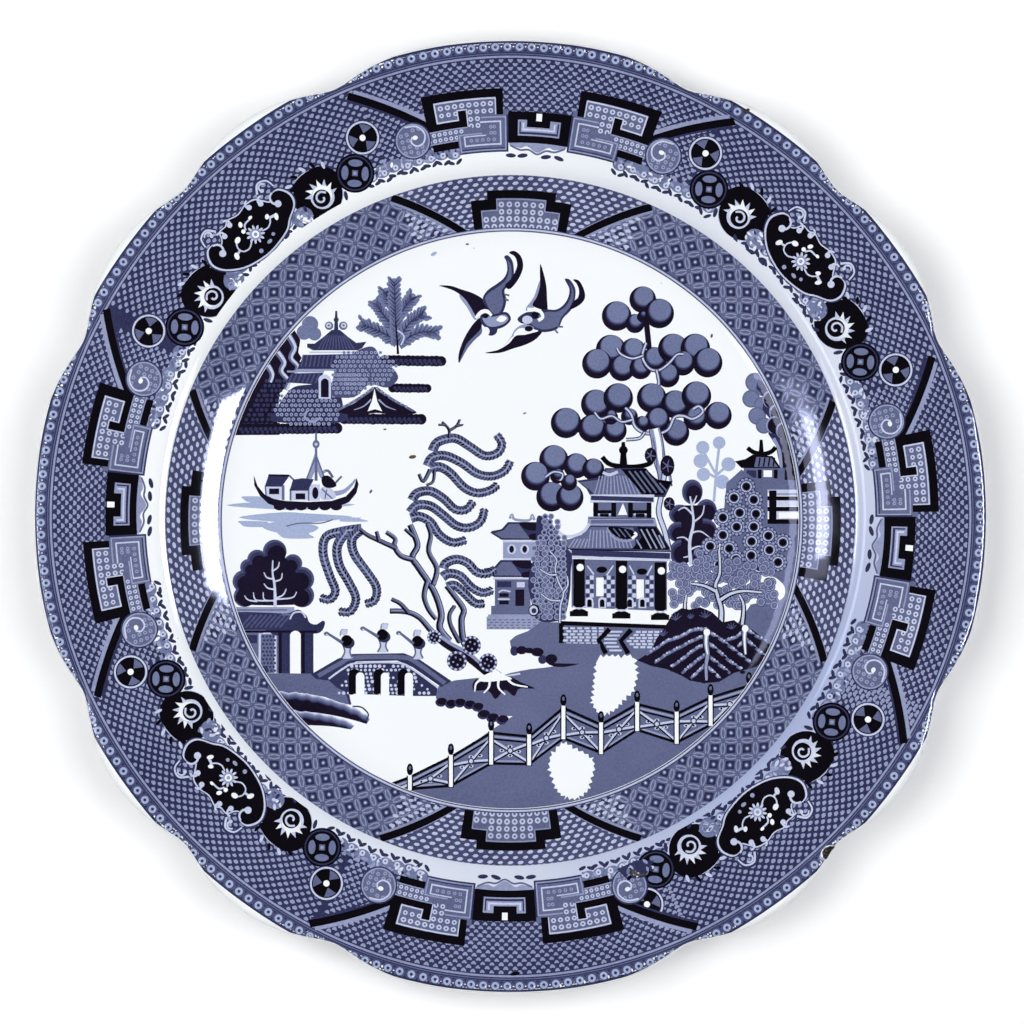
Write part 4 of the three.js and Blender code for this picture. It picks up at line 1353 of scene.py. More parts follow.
def drawSmallPagoda(ink):
    ink("pale", stroke(0.7, (-0.2, -0.6), (0.4, 0.5), (1.2, -0.8), (5, -1), (5.8, 0.4), (6.4, -1)))
    spread = 4.6
    for x, y, width, drop in ((-0.4, -1.8, 7.2, 4.5), (-2.4, -12, 7.6, 4.3)):
        ink("deep", [(x - 0.3, y + 0.3), (x + width + 0.3, y + 0.3), (x + width + 0.6, y - drop),
            (x - 2, y - drop), (x - spread - 0.4, y - drop + 1.9), (x - spread, y - drop + 2.4),
            (x - 2, y - 1.6)])
        ink("mid", [(x, y - 0.2), (x + 2.6, y - 0.2), (x + 5.6, y - drop + 0.4),
            (x - 1.8, y - drop + 0.5), (x - spread + 0.6, y - drop + 1.8), (x - 1.4, y - 1.9)])
        ink("night", loop((x + 2.9, y + 0.2), (x + width, y), (x + width + 0.3, y - 1.9),
            (x + 4.4, y - 1.6)), loop((x + 5.4, y - 3.2), (x + width + 0.4, y - 2.8),
            (x + width + 0.4, y - 4.6), (x + 5.8, y - 4.4)))
    ink("pale", box(-2, -11.4, 6.6, -6.6))
    for x in (0.3, 3.8):
        ink("faint", disc(x, -8.8, 1.2, 1.1))
        ink("night", disc(x, -8.8, 0.65, 1.5))
    ink("faint", box(-2, -6.9, 6.8, -6.4), box(-2, -11.7, 6.4, -11.2), box(-4.6, -17, 5.6, -16.4))
    ink("mid", box(-4.2, -24.6, 5.4, -16.9))
    ink("deep", box(-3.6, -19, 0.2, -17.4))
    ink("faint", box(1.7, -19, 3.8, -17.6), stroke(0.4, (-3.2, -20.4), (-2, -19.8), (0, -20.2)),
        box(-3.4, -22.4, -0.2, -22))
    ink("night", box(-3, -21.6, -0.5, -20.6), box(-3, -23.6, -0.5, -22.6), box(1.3, -24, 3.7, -19.6))
    ink("mid", box(-5.2, -26.4, 8, -24))
    ink("pale", box(-6, -27, 8.4, -26.3), box(-6.4, -30.3, 9, -26.9))
    for row in range(4):
        for x in steps(-5.8 + 0.7 * (row % 2), 8, 1.5):
            ink("mid", box(x - 0.45, -27.9 - row * 0.72, x + 0.45, -27.6 - row * 0.72))
    # blossoming tree beside it
    ink("deep", loop((7, -0.6), (8.6, 0), (10.8, -1.4), (12.6, -4.6), (13.8, -7.6), (16.4, -10),
        (16.2, -14.6), (16, -20), (14.6, -26.8), (12, -28.2), (7.4, -27.8), (5.4, -22), (4.8, -17),
        (6.6, -9)))
    for row, y in enumerate(steps(-27, 0, 1.45)):
        for x in steps(5.4 + 0.85 * (row % 2), 16, 1.7):
            if abs(x - 10.7) < 5.1 - max(0, y + 9) * 0.42:
                x += random.uniform(-0.25, 0.25)
                ink("pale", disc(x, y, 0.82))
                ink("mid", disc(x, y, 0.58))
                if random.random() < 0.4:
                    ink("deep", disc(x, y - 0.1, 0.36))
    for points in (
        ((13.2, -28.6), (13.4, -24), (14.2, -20.6), (12.8, -17.4), (12, -14), (12.4, -11.6),
         (10.6, -9.4)),
        ((13.4, -22.6), (10.6, -22.4), (8.2, -20.8)), ((12.4, -15.6), (10.4, -15.6), (8, -14.2)),
        ((14.2, -20.4), (15.4, -18.4), (15.2, -16)),
    ):
        ink("deep", stroke(0.9, *points, tip=0.6))
        ink("faint", stroke(0.45, *points, tip=0.3))
    ink("night", disc(6.3, -25.2, 1.5, 1.1))
    ink("faint", disc(6.2, -25.2, 1.15, 1.1))
    ink("deep", disc(6.3, -25.3, 0.7))
    # ground in front
    ink("mid", [(-0.2, -33.4), (1.4, -32), (4.6, -30.8), (8, -28.4), (13, -28.4), (13, -34), (24, -34.2),
        (24.2, -37), (22.8, -39.6), (12, -39.4), (8, -38.4), (8, -36), (4.8, -36.4), (2, -35.2),
        (0.2, -35.6)])
    ink("deep", disc(1, -36.1, 1.1, 1.2), disc(8.6, -38.4, 1.2))
    ink("night", disc(3, -35.9, 1.5, 0.75), disc(7.2, -36.4, 1.7, 0.7), disc(11, -38.2, 1.6, 0.8),
        disc(5, -36, 1.3, 0.6))


def drawRightBank(sheet):
    ink = sheet.ink
    # thin tree and tower at the edge
    for x, y, r in (
        (65.6, 36, 2.4), (68, 34.4, 2), (64.6, 31.6, 2.2), (67.4, 30, 1.9), (66.2, 27, 2.2),
        (68, 24.4, 2),
    ):
        ink("mid", disc(x, y, r + 0.2))
        ink("palemid", disc(x, y, r - 0.2))
    ink("deep", [(66.4, 37), (69.5, 34.5), (74.4, 27), (77, 16), (78, 9), (72.4, 9), (72.2, 14),
        (71.2, 19), (69.2, 22.2), (69.8, 26), (67.6, 28.6), (68, 32), (66, 34.4)])
    for x, y, lean in ((69.6, 31.4, 100), (71.4, 27.8, 110), (70.6, 24.6, 80), (73.2, 23, 100)):
        ink("pale", disc(x, y, 2.3, 0.85, lean))
        ink("night", disc(x + 0.5, y - 0.2, 2.2, 0.95, lean))
    ink("night", [(73.2, 24), (77.6, 9), (73, 9), (72.8, 16)])
    ink("pale", stroke(0.9, (70.6, 21), (72.2, 17.6), (72.6, 13)))
    ink("dark", stroke(1.2, (63.6, 18.4), (65.4, 17.2), (68, 16.8), (70, 17.4), (71.2, 18.6)),
        stroke(0.8, (67.3, 20.6), (67.3, 16.6), tip=1.4),
        [(60.2, 14.8), (63, 15.4), (65, 16.6), (70.4, 16.2), (72.6, 13), (62, 13)])
    ink("mid", [(66, 16), (70, 15.8), (71.8, 13.3), (65.4, 13.3)], box(62.6, 9.8, 73.6, 13))
    hatch(sheet, "dark", 0.4, (67, 15.8), (66.6, 13.4), (1.3, 0), 4)
    ink("deep", box(63.4, 10.4, 66, 12.4))
    ink("dark", box(66.4, 10.2, 67.4, 12.6), box(70.7, 10.2, 71.7, 12.6))
    ink("bare", box(67.9, 10.6, 70.2, 12.4))
    ink("mid", box(61, 7.2, 78, 9.8))
    ink("faint", box(68.6, 6.3, 78, 7.2), box(69, 2.8, 78, 4.3), box(71.4, -0.6, 78, 1.4))
    ink("pale", box(69.4, 5.6, 78, 6.3))
    ink("dark", box(68.4, 4.3, 78, 5.4), box(68.4, 1.4, 78, 2.6), box(68.4, -2, 78, -0.7),
        box(69.4, -1.4, 71.4, 7))
    ink("bare", box(72, -0.4, 77.6, 1.1))
    # pale sprig
    for points in (
        ((54.6, 4), (55, 9), (55.4, 13.6), (56, 18.6)), ((55, 11.6), (52.8, 15.6), (51.6, 18)),
        ((54.8, 8.6), (56.6, 9.4)), ((55.2, 11), (57.4, 13)), ((54.8, 10.6), (52.4, 12)),
    ):
        ink("wash", stroke(0.7, *points))
    for x, y, r in (
        (51.6, 18.5, 1.8), (56, 19.8, 1.7), (51, 14.9, 1.9), (58.5, 14, 1.9), (51.8, 11.3, 1.8),
        (56.8, 9.3, 1.9),
    ):
        ink("wash", disc(x, y, r))
    # mid-blue slope behind everything here
    ink("mid", [(58, 9), (62, 12.6), (66, 9.8), (69, 7), (69, -2), (78, -2), (79, -14), (76, -26),
        (72, -33.4), (66, -31.4), (64.6, -26), (64, -22), (56, -12)])
    # dark tree, left of the blossom
    for x, y, r, tall in (
        (48.8, 6.6, 2.8, 1.2), (52.6, 1.6, 2.8, 1.1), (45.4, 0.6, 2.9, 0.9), (45, -4.2, 2.9, 0.95),
        (52, -3.6, 3.4, 0.9), (45.8, -9.6, 3.2, 1.05), (50.4, -10.6, 2.6, 1.0),
    ):
        ink("deepmid", disc(x, y, r, tall))
        ink("deep", disc(x + 0.2, y - 0.3, r - 0.4, tall))
        ink("night", disc(x + 0.4, y - 0.6, r - 0.8, tall))
    ink("night", box(45.8, -10, 51.6, 3))
    ink("faint", stroke(1.0, (48.4, -13), (48.1, -7), (49.1, -2), (48.8, 2), (48.2, 5.4), tip=0.4))
    for points in (
        ((48.3, -7), (46.6, -5.6), (44.6, -5.8)), ((48.6, -4.4), (51, -4), (53.4, -5.6)),
        ((49, -1.6), (51.4, 0.4), (52, 3)), ((48.8, 0.6), (46.8, 2.4), (45, 1.6)),
        ((48.1, -9), (50.4, -8), (52, -8.6)), ((48.9, 3), (50, 5.6)), ((48.2, -10.6), (46.4, -11)),
    ):
        ink("faint", stroke(0.55, *points, tip=0.25))
    # blossom: ringed flowers with dark hearts
    for x, y in (
        (63.3, 8), (60, 5), (65.3, 4.5), (57, -0.3), (61.5, 1), (65.9, 0.7), (60.7, -2.8), (65.3, -2.8),
        (57, -5), (69.2, -5.2), (64.7, -6.7), (73.1, -7), (58.7, -8.6), (69.5, -9), (64.6, -10.5),
        (60.5, -11.5), (71.8, -12.3), (66.8, -13.5), (53.6, -8), (56, -13),
    ):
        ink("deep", disc(x, y, 2.5))
        for k in range(12):
            a = k * math.pi / 6
            ink("pale", disc(*pointAt(x, y, 1.95, a), 0.42))
        ink("deepmid", disc(x, y, 1.75))
        ink("faint", disc(x, y, 1.45))
        ink("deepmid", disc(x, y, 1.2))
        ink("dark", disc(x, y, 0.95))
    # leaf rings lower down, with the twisting trunk
    ink("bare", loop((42.4, -14), (46, -13), (56, -17), (68, -15.6), (73, -18), (73.4, -21.4),
        (70.6, -23), (64, -23.8), (61.6, -27.6), (58.6, -27), (56, -25.6), (50, -24.8), (44, -26.6),
        (42.2, -24)))
    for _ in range(180):
        x, y = random.uniform(43, 71.4), random.uniform(-24, -8.6)
        if y < -12.6 + (x - 44) * 0.06 or 50 < x < 58:
            ink("deepmid", disc(x, y, 1.25))
            ink("pale", disc(x, y, 1.05))
            ink("mid", disc(x, y, 0.78))
            ink("palemid", disc(x + 0.1, y + 0.1, 0.35))
    for points, width in (
        (((56.4, -30), (56.6, -25), (55.6, -21.4), (55, -18.4), (56.2, -15), (56, -9)), 1.0),
        (((56.4, -22.4), (59, -20.8), (62.6, -20), (67.4, -20.4)), 0.9),
        (((55, -20), (52, -18.6), (48.4, -18)), 0.8), (((62.2, -29), (62.6, -24), (61.4, -21)), 0.8),
        (((47.6, -30), (46.8, -25), (47.2, -21)), 0.8),
    ):
        ink("dark", stroke(width + 0.9, *points, tip=width))
        ink("faint", stroke(width, *points, tip=width * 0.5))


def drawRockFan(ink):
    ink("night", [(34, -38.6), (38, -36), (39, -33), (41, -30.4), (43.6, -26), (46, -24.6), (48, -25),
        (51, -24.4), (54, -25.6), (57, -28.4), (60, -27.8), (62.4, -29.6), (65, -30.4), (67.4, -32.4),
        (70.6, -34), (70, -37), (66, -40.3), (60, -42), (56, -44.4), (52, -44.8), (48, -44), (46, -42.8),
        (42, -41), (38, -40.2)])
    for x, y, r in (
        (44.4, -27.4, 2), (52.4, -26.8, 2.1), (59.4, -29.8, 1.7), (41, -31.6, 1.6), (48.4, -27, 1.2),
    ):
        for k in range(5):
            a = 0.5 + k * 0.62
            ink("deepmid", stroke(0.35, (x, y - 0.4), (x + r * 0.85 * math.cos(a),
                y + r * 0.8 * math.sin(a)), tip=0.2))
    # every ridge falls away from a crest
    ridges = (
        ((52.4, -30.2), (49, -30.4), (47, -31.5), (44.5, -32.6), (42, -33.4), (40, -34.8), (36.4, -37)),
        ((52.2, -32), (49.5, -33), (45.4, -35.1), (42, -36.9), (38.7, -39.2)),
        ((52, -34.4), (49.5, -35.6), (46.6, -37.9), (43.2, -40.3)),
        ((52, -37.2), (49, -39.5), (46, -42)),
        ((52, -40), (50, -42), (48.4, -43.4)),
        ((53.4, -31), (56, -32.6), (59.4, -35.2), (62, -37.3), (64.6, -39.2)),
        ((53.2, -34), (55.6, -35.8), (59, -38.9), (62, -40.9)),
        ((53.2, -37.4), (56, -39.7), (59, -42)),
        ((53.2, -40.6), (55, -42.2), (56.4, -43.8)),
        ((63.6, -30.2), (65.6, -31.8), (70, -34)),
        ((63.4, -33), (66, -35.4), (69, -38)),
        ((62.4, -30.8), (60.6, -32.3), (57.6, -33.2)),
        ((62.6, -33.4), (61, -35)),
    )
    for points in ridges:
        ridge(ink, points)
    for points in (
        ((52.7, -30.6), (52.5, -34), (52.9, -37), (52.5, -40), (52.6, -44)),
        ((63, -29.6), (62.8, -33), (63.1, -37)),
    ):
        ink("night", stroke(2.1, *points, tip=1.0))
        ink("pale", stroke(1.4, *points, tip=0.6))
        ink("bare", stroke(0.7, *points[:3], tip=0.3), disc(points[0][0], points[0][1] - 0.5, 0.9, 1.1))


def drawWillow(ink):
    # hanging fronds: a pale band with two rows of small dark leaves
    fronds = (
        ((-21, 17.5), (-19.5, 20), (-15, 21), (-11, 18.8), (-7, 16.3), (-3.5, 17), (-2.3, 19.5),
         (-3.8, 22)),
        ((-22.3, 13.5), (-21, 15.8), (-17.5, 16.3), (-13, 14.3), (-9, 11.5), (-5, 10.8), (-1.5, 12.3),
         (0, 15)),
        ((-21.5, 12.8), (-19, 13.3), (-16, 11.5), (-12.5, 7.8), (-9, 6.3), (-5.5, 7), (-3.5, 8.5)),
        ((-26.5, 4.3), (-25, 6.3), (-21.5, 6.8), (-18, 4.8), (-15, 2), (-12, 1.8), (-10, 4)),
        ((-27, 1), (-25, 3), (-21.5, 2.8), (-18, 0.3), (-14.5, -2.5), (-11, -3), (-8, -1.3), (-7, 2)),
        ((-26.8, -0.5), (-24.5, 0), (-21.5, -1.5), (-19, -5), (-15.5, -7), (-12, -6.3)),
        ((-18, -14), (-17.3, -12.5), (-14.5, -11.5), (-11.5, -12.5), (-9, -15), (-6, -15.3), (-4, -14)),
        ((-18.3, -16.3), (-16.5, -15.3), (-13.5, -16), (-10.5, -19), (-7.5, -20.5), (-5, -19.8)),
        ((-17, -19), (-15, -18.5), (-12.5, -20.5), (-9.5, -23.3), (-7, -23.3)),
        ((-40, -3.3), (-45, -4), (-49.5, -5.5), (-50.3, -10), (-48.5, -16), (-47, -20), (-48.5, -22.3),
         (-51, -21.8)),
        ((-44, -4), (-46.5, -8), (-46, -13), (-43.5, -17.5), (-41.5, -22), (-43, -25.5), (-46, -25.5)),
        ((-40, -3.5), (-42.5, -6), (-42, -10), (-38.5, -15), (-36, -19), (-36.5, -22.5), (-39, -23.5)),
    )
    for frond in fronds:
        ink("deepmid", stroke(2.7, *frond, tip=2.1))
        ink("mid", stroke(2.35, *frond, tip=1.8))
        ink("pale", stroke(0.5, *frond))
        line = smooth(frond, steps=10)
        walked = 0
        for (ax, ay), (bx, by) in zip(line, line[1:]):
            length = math.hypot(bx - ax, by - ay)
            walked += length
            if walked < 0.74:
                continue
            walked = 0
            ux, uy = (bx - ax) / length, (by - ay) / length
            for side in (-1, 1):
                nx, ny = -uy * side, ux * side
                ink("deep" if random.random() < 0.5 else "night", stroke(
                    0.46, (bx + nx * 0.24 + ux * 0.35, by + ny * 0.24 + uy * 0.35),
                    (bx + nx * 1.22 - ux * 0.35, by + ny * 1.22 - uy * 0.35), tip=0.3))
    # twisting trunks, dark on the left and lit on the right
    trunks = (
        (1.5, 1.2, (-11, -37.6), (-16.4, -35), (-21, -31), (-24.4, -27.2), (-28, -25.6), (-32.4, -25.4)),
        (1.1, 0.9, (-27.4, -25.8), (-29.6, -23.4), (-32, -22.2)),
        (1.7, 1.3, (-8.6, -40), (-12.4, -34), (-13.2, -28), (-12.6, -25), (-15, -21.4), (-17.2, -18.6)),
        (1.1, 0.9, (-13.6, -34), (-16, -29.4), (-16.4, -26.4), (-15, -24)),
        (1.7, 1.4, (-16.4, -33.4), (-19, -30), (-18.6, -26), (-20.6, -20), (-24.8, -13.6), (-26.4, -11),
         (-25, -8), (-25.8, -5), (-27, -2.2)),
        (1.3, 1.0, (-20.8, -18.4), (-19.8, -14), (-22, -9.4), (-21.4, -5), (-22.4, -2)),
        (1.3, 1.0, (-26, -11.6), (-29.4, -10.6), (-31.2, -8), (-31, -6), (-33.4, -4.2)),
        (1.2, 0.9, (-30.6, -8.6), (-35, -6.6), (-38.4, -5), (-40.4, -3.4)),
        (1.0, 0.8, (-35.2, -6.9), (-36, -4)),
        (1.3, 1.0, (-22.4, -17.6), (-23.2, -21.4), (-22, -25), (-20, -27.6)),
        (0.6, 0.5, (-16.5, 21), (-16.6, 23.4), (-18.4, 25.4)),
        (0.6, 0.5, (-16.6, 23), (-14.6, 24.2), (-13.6, 26)),
        (0.5, 0.4, (-17.4, 24.6), (-19.4, 24.6)),
        (0.5, 0.4, (-14.8, 24.2), (-12.8, 24.6)),
        (0.9, 0.7, (-21.6, 12.6), (-23.4, 9.4), (-24.6, 11.4)),
        (0.7, 0.5, (-20.4, 12.6), (-20.8, 9.4), (-22.6, 8.4)),
        (0.9, 0.7, (-26, -5.4), (-28.4, -3.4)),
    )
    for width, tip, *points in trunks:
        ink("night", stroke(width + 0.25, *points, tip=tip + 0.2))
        ink("mid", stroke(width * 0.62, *[(x + 0.22, y + 0.12) for x, y in points], tip=tip * 0.6))
        if width > 1.2:
            ink("pale", stroke(width * 0.24, *[(x + 0.42, y + 0.2) for x, y in points], tip=tip * 0.2))
    # the foot of the trunk and its roots
    ink("night", stroke(3.4, (-3.4, -43.4), (-8, -40), (-12, -37.2), (-17, -34.6), (-21, -31.6), tip=1.4))
    ink("pale", stroke(2.0, (-3, -42.8), (-7.5, -39.3), (-11.4, -36.4), (-16.4, -33.8), (-20.4, -31),
        tip=0.7))
    ink("bare", stroke(1.1, (-2.8, -42.6), (-7.2, -39), (-11, -36), (-16, -33.4), tip=0.4))
    ink("night", loop((-10, -46.6), (-9.4, -43.8), (-5, -42.8), (-0.6, -42.8), (2.6, -44.4), (6.6, -46.2),
        (2.4, -46.2), (1, -48.2), (-1.6, -46.6), (-4, -49), (-6, -46.8)))
    ink("bare", loop((-8.6, -43.6), (-5, -41.8), (-1.6, -42.6), (0.4, -43.6), (-2, -44), (-7, -44.4)))
    for points in (
        ((-7.4, -43.4), (-9.2, -44.8), (-9.6, -47)), ((-5.6, -43.8), (-5.8, -45.8), (-7.2, -47.4)),
        ((-3.2, -43.8), (-3.2, -46), (-1.4, -47.8)), ((-1, -43.4), (0.8, -45), (4.6, -45.8)),
    ):
        ink("bare", stroke(0.75, *points, tip=0.35))
    for x, y, r in ((-20.5, -32.4, 1.7), (-10.5, -34.6, 2.3), (-14.4, -38.8, 2.4), (-6, -39.2, 2.2)):
        ink("deepmid", disc(x, y, r * 1.12))
        for k in range(11):
            a = k * 2 * math.pi / 11
            ink("faint", disc(*pointAt(x, y, r * 0.96, a), 0.34))
        ink("night", disc(x, y, r * 0.8))
        for k in range(4):
            a = 0.4 + k * 1.5
            ink("pale", disc(*pointAt(x, y, r * 0.42, a), 0.28))


def drawLandscape():
    sheet = PrintSheet("landscape", borderRing(innerBorder["inner"] - 1.3), 0)
    ink = sheet.ink
    drawIsland(ink)
    drawBoat(ink)
    drawForeground(ink)
    drawRightBank(sheet)
    drawAppleTree(ink)
    drawPagoda(sheet)
    drawRockFan(ink)
    drawSmallPagoda(ink)
    drawRoundTree(ink)
    drawHut(sheet)
    drawBridge(ink)
    drawWillow(ink)
    drawFence(ink)
    drawSkyBirds(ink)
    # kiln and transfer marks in the open sky and water
    for x, y, wide, lean, tone in (
        (-26.3, 16, 1.0, 10, "iron"), (-37.5, 6.7, 0.6, 60, "deepmid"), (-33.7, 23.4, 0.45, 0, "iron"),
        (54, 48.5, 0.6, 80, "iron"), (3.8, 27.7, 0.5, 20, "palemid"), (-20.6, 70.5, 0.9, 30, "wash"),
        (-11.6, 73.1, 0.5, 0, "deepmid"), (-50, 12, 0.4, 0, "wash"),
    ):
        ink(tone, disc(x, y, wide, 0.5, lean))
    return sheet


# finishes: everything is under one clear lead glaze, so every material shares its gloss and its ripple

glazeLook = {
    "ior": 1.6,  # lead glaze bends light more than window glass
    "gloss": (0.05, 0.13),  # roughness from the smoothest places to the knife-worn ones
    "wearSize": 14,  # mm, patches of wear
    "wearSpan": (0.35, 0.75),
    "rippleSize": 5,  # mm, the slow ripple of a dipped glaze
    "ripple": (0.045, 0.0005),  # strength, and height in metres
    "white": "#f6fafd",
    "pooled": "#a9b4d8",  # painted shade: a bluish grey laid over the faintly blue glaze on the ring round the hollow
    "pooledFrom": -38,  # degrees, the side where the painted shade is strongest
    "pooledRadius": (86, 92, 97, 108),  # mm, where the ring of painted shade begins, is full, and ends
    "pooledShare": ((0, 0.3), (0.6, 0.5), (1, 1)),  # from a quarter turn away to the most shaded side
    "drained": -0.85,  # the opposite side is clear of it
    "upward": 0.2,  # how far a face has to look up to carry it
    "speck": "#b3a894",
    "speckSpacing": 9,
    "speckSize": (0.022, 0.012),  # share of that spacing, soft edge and core
}

inkLook = {
    # each strength of blue: where the tissue pressed well, where it pressed badly, and its slot
    "dark": ("#010003", "#090512", "print_dark"),
    "night": ("#0a0516", "#1d142f", "print_dark"),
    "deep": ("#26284a", "#373a60", "print_dark"),
    "deepmid": ("#40446a", "#535880", "print_mid"),
    "mid": ("#565d80", "#697094", "print_mid"),
    "palemid": ("#646c90", "#7882a8", "print_mid"),
    "pale": ("#858db2", "#9da5c8", "print_pale"),
    "wash": ("#98a6cb", "#aebbdc", "print_pale"),
    "faint": ("#b8c0df", "#d0d7ef", "print_pale"),
    "iron": ("#2c2420", "#6a5c48", "print_dark"),
}

inkGrain = {
    "stippleSize": 0.55,  # mm, engraved dots are 0.2 mm, drawn coarser so that they show
    "patchSize": 16,  # mm, uneven pressing of the tissue
    "patchShare": 0.45,
    "span": (0.32, 0.68),  # between the strong tone and the weak one
}

chipLook = {
    "stain": "#0b0706",
    "biscuit": "#6f5a33",
    "grainSize": 0.5,  # mm, the open body of the fired clay
    "cleanSpan": (0.52, 0.66),  # where the clay shows through the stain
    "roughness": 0.85,
    "pitting": (0.6, 0.0003),  # strength, and depth in metres
}


def scaleFor(millimetres):
    return 1 / (millimetres * mm)


def newSurface(name):
    material = bpy.data.materials.new(name)
    material.use_nodes = True
    tree = material.node_tree
    place = addNode(tree, "TexCoord").outputs["Object"]
    return material, tree, tree.nodes["Principled BSDF"], place


def leadGlaze(tree, shader, place):
    # clear, wet gloss: sharp window lights, broken a little by ripple and by worn patches
    shader.inputs["IOR"].default_value = glazeLook["ior"]
    wear = addNode(tree, "TexNoise", [("Vector", place)], in2=scaleFor(glazeLook["wearSize"]), in3=4)
    low, high = glazeLook["wearSpan"]
    smoothest, worn = glazeLook["gloss"]
    gloss = addNode(tree, "MapRange", [(0, wear.outputs[0])], in1=low, in2=high, in3=smoothest, in4=worn)
    tree.links.new(gloss.outputs[0], shader.inputs["Roughness"])
    ripple = addNode(tree, "TexNoise", [("Vector", place)], in2=scaleFor(glazeLook["rippleSize"]), in3=2)
    strength, height = glazeLook["ripple"]
    bump = addNode(tree, "Bump", [("Height", ripple.outputs[0])], in0=strength, in1=height)
    tree.links.new(bump.outputs[0], shader.inputs["Normal"])


def glazedEarthenware():
    # white earthenware in lead glaze: bluish white, with a few kiln specks, and a painted shade of bluish
    # grey on the ring round the hollow, strongest towards the lower right
    material, tree, shader, place = newSurface("leadGlazedEarthenware")
    flat = addNode(tree, "VectorMath", [(0, place)], operation="MULTIPLY", in1=(1, 1, 0)).outputs[0]
    radius = addNode(tree, "VectorMath", [(0, flat)], operation="LENGTH").outputs["Value"]
    heading = addNode(tree, "VectorMath", [(0, flat)], operation="NORMALIZE").outputs[0]
    # painted shade: the ring round the hollow is tinted bluish grey, most on the lower right side and fading
    # away from it
    shadedSide = (*polar(1, glazeLook["pooledFrom"]), 0)
    nearness = addNode(tree, "VectorMath", [(0, heading)], operation="DOT_PRODUCT", in1=shadedSide)
    towards = nearness.outputs["Value"]
    share = addNode(tree, "ValToRGB", [(0, towards)])
    share.color_ramp.elements.new(0.5)
    for stop, (position, grey) in zip(share.color_ramp.elements, glazeLook["pooledShare"]):
        stop.position = position
        stop.color = (grey, grey, grey, 1)
    begin, full, leave, end = (r * mm for r in glazeLook["pooledRadius"])
    pooled = share.outputs[0]
    for value, low, high in ((towards, glazeLook["drained"], 0), (radius, begin, full), (radius, end, leave)):
        fade = addNode(tree, "MapRange", [(0, value)], interpolation_type="SMOOTHSTEP", in1=low, in2=high)
        both = addNode(tree, "Math", [(0, pooled), (1, fade.outputs[0])], operation="MULTIPLY")
        pooled = both.outputs[0]
    # only on faces that look up, so the underside stays white
    facing = addNode(tree, "NewGeometry")
    upward = addNode(tree, "SeparateXYZ", [(0, facing.outputs["Normal"])])
    above = addNode(tree, "MapRange", [(0, upward.outputs["Z"])], in1=0, in2=glazeLook["upward"])
    amount = addNode(tree, "Math", [(0, pooled), (1, above.outputs[0])], operation="MULTIPLY")
    tint = addNode(tree, "Mix", [(0, amount.outputs[0])], data_type="RGBA",
        in6=linear(glazeLook["white"]), in7=linear(glazeLook["pooled"]))
    cells = addNode(tree, "TexVoronoi", [("Vector", place)], in2=scaleFor(glazeLook["speckSpacing"]))
    soft, core = glazeLook["speckSize"]
    speck = addNode(tree, "MapRange", [(0, cells.outputs["Distance"])], in1=soft, in2=core)
    colour = addNode(tree, "Mix", [(0, speck.outputs[0]), (6, tint.outputs[2])], data_type="RGBA",
        in7=linear(glazeLook["speck"]))
    tree.links.new(colour.outputs[2], shader.inputs["Base Color"])
    leadGlaze(tree, shader, place)
    return material


def transferInk(tone):
    # cobalt printed under the glaze: flat blue, stippled by the engraving, uneven where it pressed badly
    strong, weak, slotName = inkLook[tone]
    material, tree, shader, place = newSurface("cobaltTransfer" + tone.capitalize())
    stipple = addNode(tree, "TexNoise", [("Vector", place)], in2=scaleFor(inkGrain["stippleSize"]), in3=1)
    patches = addNode(tree, "TexNoise", [("Vector", place)], in2=scaleFor(inkGrain["patchSize"]), in3=3)
    both = addNode(tree, "Mix", [(2, stipple.outputs[0]), (3, patches.outputs[0])],
        in0=inkGrain["patchShare"])
    low, high = inkGrain["span"]
    spread = addNode(tree, "MapRange", [(0, both.outputs[0])], in1=low, in2=high)
    colour = addNode(tree, "Mix", [(0, spread.outputs[0])], data_type="RGBA",
        in6=linear(strong), in7=linear(weak))
    tree.links.new(colour.outputs[2], shader.inputs["Base Color"])
    leadGlaze(tree, shader, place)
    return material, slotName


def brokenBiscuit():
    # unglazed clay laid bare by the chip: dry and rough, and stained nearly black over the years
    material, tree, shader, place = newSurface("stainedBiscuit")
    grain = addNode(tree, "TexNoise", [("Vector", place)], in2=scaleFor(chipLook["grainSize"]), in3=4)
    low, high = chipLook["cleanSpan"]
    clean = addNode(tree, "MapRange", [(0, grain.outputs[0])], in1=low, in2=high)
    colour = addNode(tree, "Mix", [(0, clean.outputs[0])], data_type="RGBA",
        in6=linear(chipLook["stain"]), in7=linear(chipLook["biscuit"]))
    tree.links.new(colour.outputs[2], shader.inputs["Base Color"])
    shader.inputs["Roughness"].default_value = chipLook["roughness"]
    strength, depth = chipLook["pitting"]
    bump = addNode(tree, "Bump", [("Height", grain.outputs[0])], in0=strength, in1=depth)
    tree.links.new(bump.outputs[0], shader.inputs["Normal"])
    return material


makePlate(glazedEarthenware(), brokenBiscuit())
inks = {tone: transferInk(tone) for tone in inkLook}
layPrint(drawRim(), inks)
layPrint(drawInnerBorder(), inks)
layPrint(drawLandscape(), inks)

# white table, soft lamps overhead, and a tall window on each side that shows only in the glaze

studio = {
    "frameWidth": 272.5,  # mm across the view
    "lens": 250,
    "aim": (0.4, 1.2),  # mm, the middle of the view on the plate
    "room": 0.06,
    "lamps": {"softLeft": (-0.75, 0.1, 1.7, 23.4), "softRight": (0.75, 0, 1.7, 17.5)},  # place and watts
    "lampSize": 1.1,
    # direction, tilt down from overhead, size, and share of the brightness
    "windows": {
        "windowRight": (-4.5, 52.4, (0.78, 0.39), 1.1),
        "windowLeft": (187, 58.5, (0.84, 0.38), 0.095),
        "doorLeft": (186, 61.5, (0.6, 0.17), 0.15),
        "skylightLeft": (184, 30, (0.9, 0.24), 0.1),
    },
    "windowAway": 1.4,  # metres
    "windowTint": "#d4daff",
    "windowPower": 30,
    "paper": ("#fcfcfd", "#ffffff"),
}


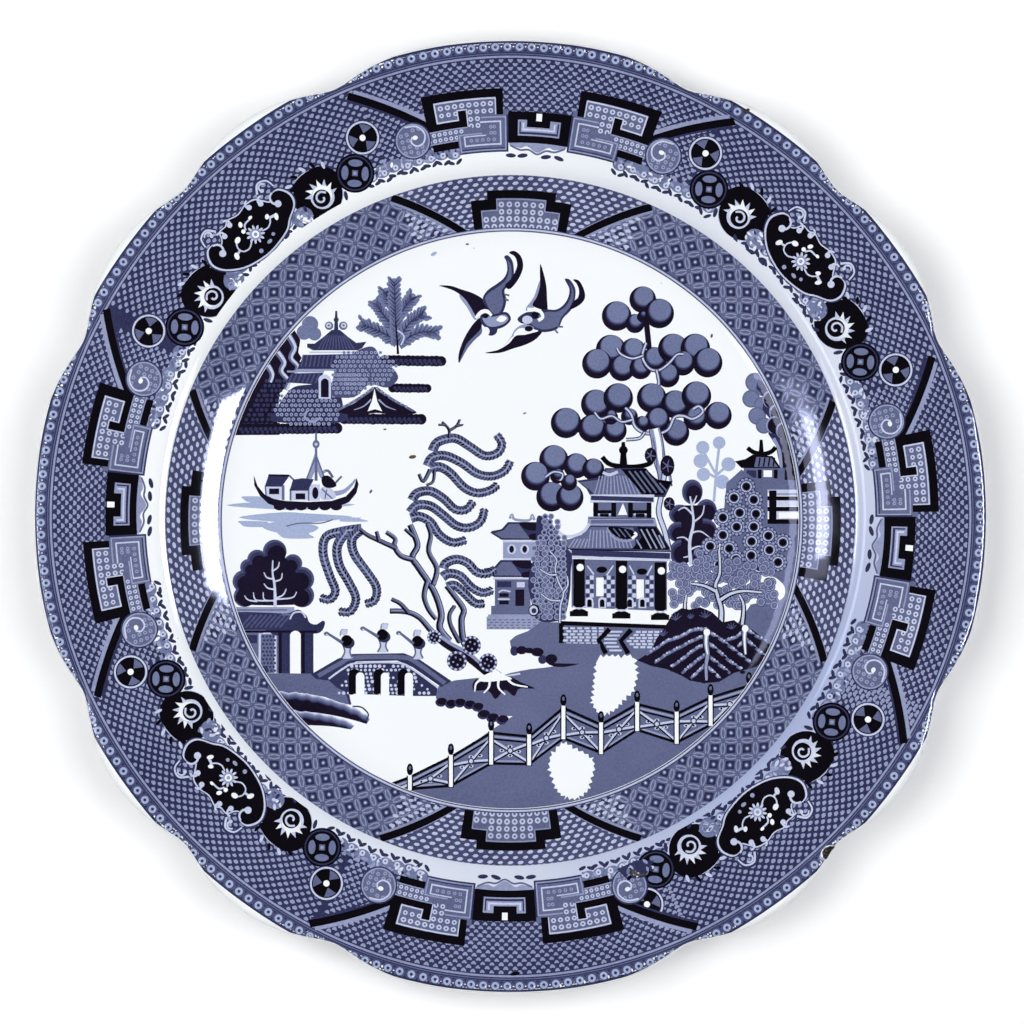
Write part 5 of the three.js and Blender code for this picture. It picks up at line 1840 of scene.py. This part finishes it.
def areaLamp(name, place, size, watts, inGloss):
    lamp = bpy.data.lights.new(name, "AREA")
    lamp.shape = "RECTANGLE"
    lamp.size, lamp.size_y = size
    lamp.energy = watts
    if inGloss:
        lamp.color = linear(studio["windowTint"])[:3]
    fitting = bpy.data.objects.new(name, lamp)
    fitting.location = place
    fitting.rotation_euler = (-Vector(place)).to_track_quat("-Z", "Y").to_euler()
    fitting.visible_glossy = inGloss
    fitting.visible_diffuse = not inGloss
    scene.collection.objects.link(fitting)


for name, (x, y, z, watts) in studio["lamps"].items():
    areaLamp(name, (x, y, z), (studio["lampSize"], studio["lampSize"]), watts, False)
for name, (heading, tipped, size, share) in studio["windows"].items():
    tilt = math.radians(tipped)
    direction = Vector((*polar(math.sin(tilt), heading), math.cos(tilt)))
    areaLamp(name, direction * studio["windowAway"], size, studio["windowPower"] * share, True)

room = bpy.data.worlds.new("room")
room.use_nodes = True
room.node_tree.nodes["Background"].inputs[0].default_value = (1, 1, 1, 1)
room.node_tree.nodes["Background"].inputs[1].default_value = studio["room"]
scene.world = room
scene.view_settings.view_transform = "Standard"

table = bmesh.new()
bmesh.ops.create_grid(table, x_segments=1, y_segments=1, size=2)
paper, paperTree, paperShader, paperPlace = newSurface("matWhitePaper")
fibre = addNode(paperTree, "TexNoise", [("Vector", paperPlace)], in2=scaleFor(60))
dull, bright = studio["paper"]
white = addNode(paperTree, "Mix", [(0, fibre.outputs[0])], data_type="RGBA", in6=linear(dull),
    in7=linear(bright))
paperTree.links.new(white.outputs[2], paperShader.inputs["Base Color"])
paperShader.inputs["Roughness"].default_value = 0.9
floor = meshObject("table", table, paper)

camera = bpy.data.cameras.new("camera")
camera.lens = studio["lens"]
camera.sensor_width = 36
distance = studio["frameWidth"] * studio["lens"] / camera.sensor_width * mm
tripod = bpy.data.objects.new("camera", camera)
tripod.location = (studio["aim"][0] * mm, studio["aim"][1] * mm, distance + plateHigh[2])
scene.collection.objects.link(tripod)
scene.camera = tripod
print("lights and camera placed")
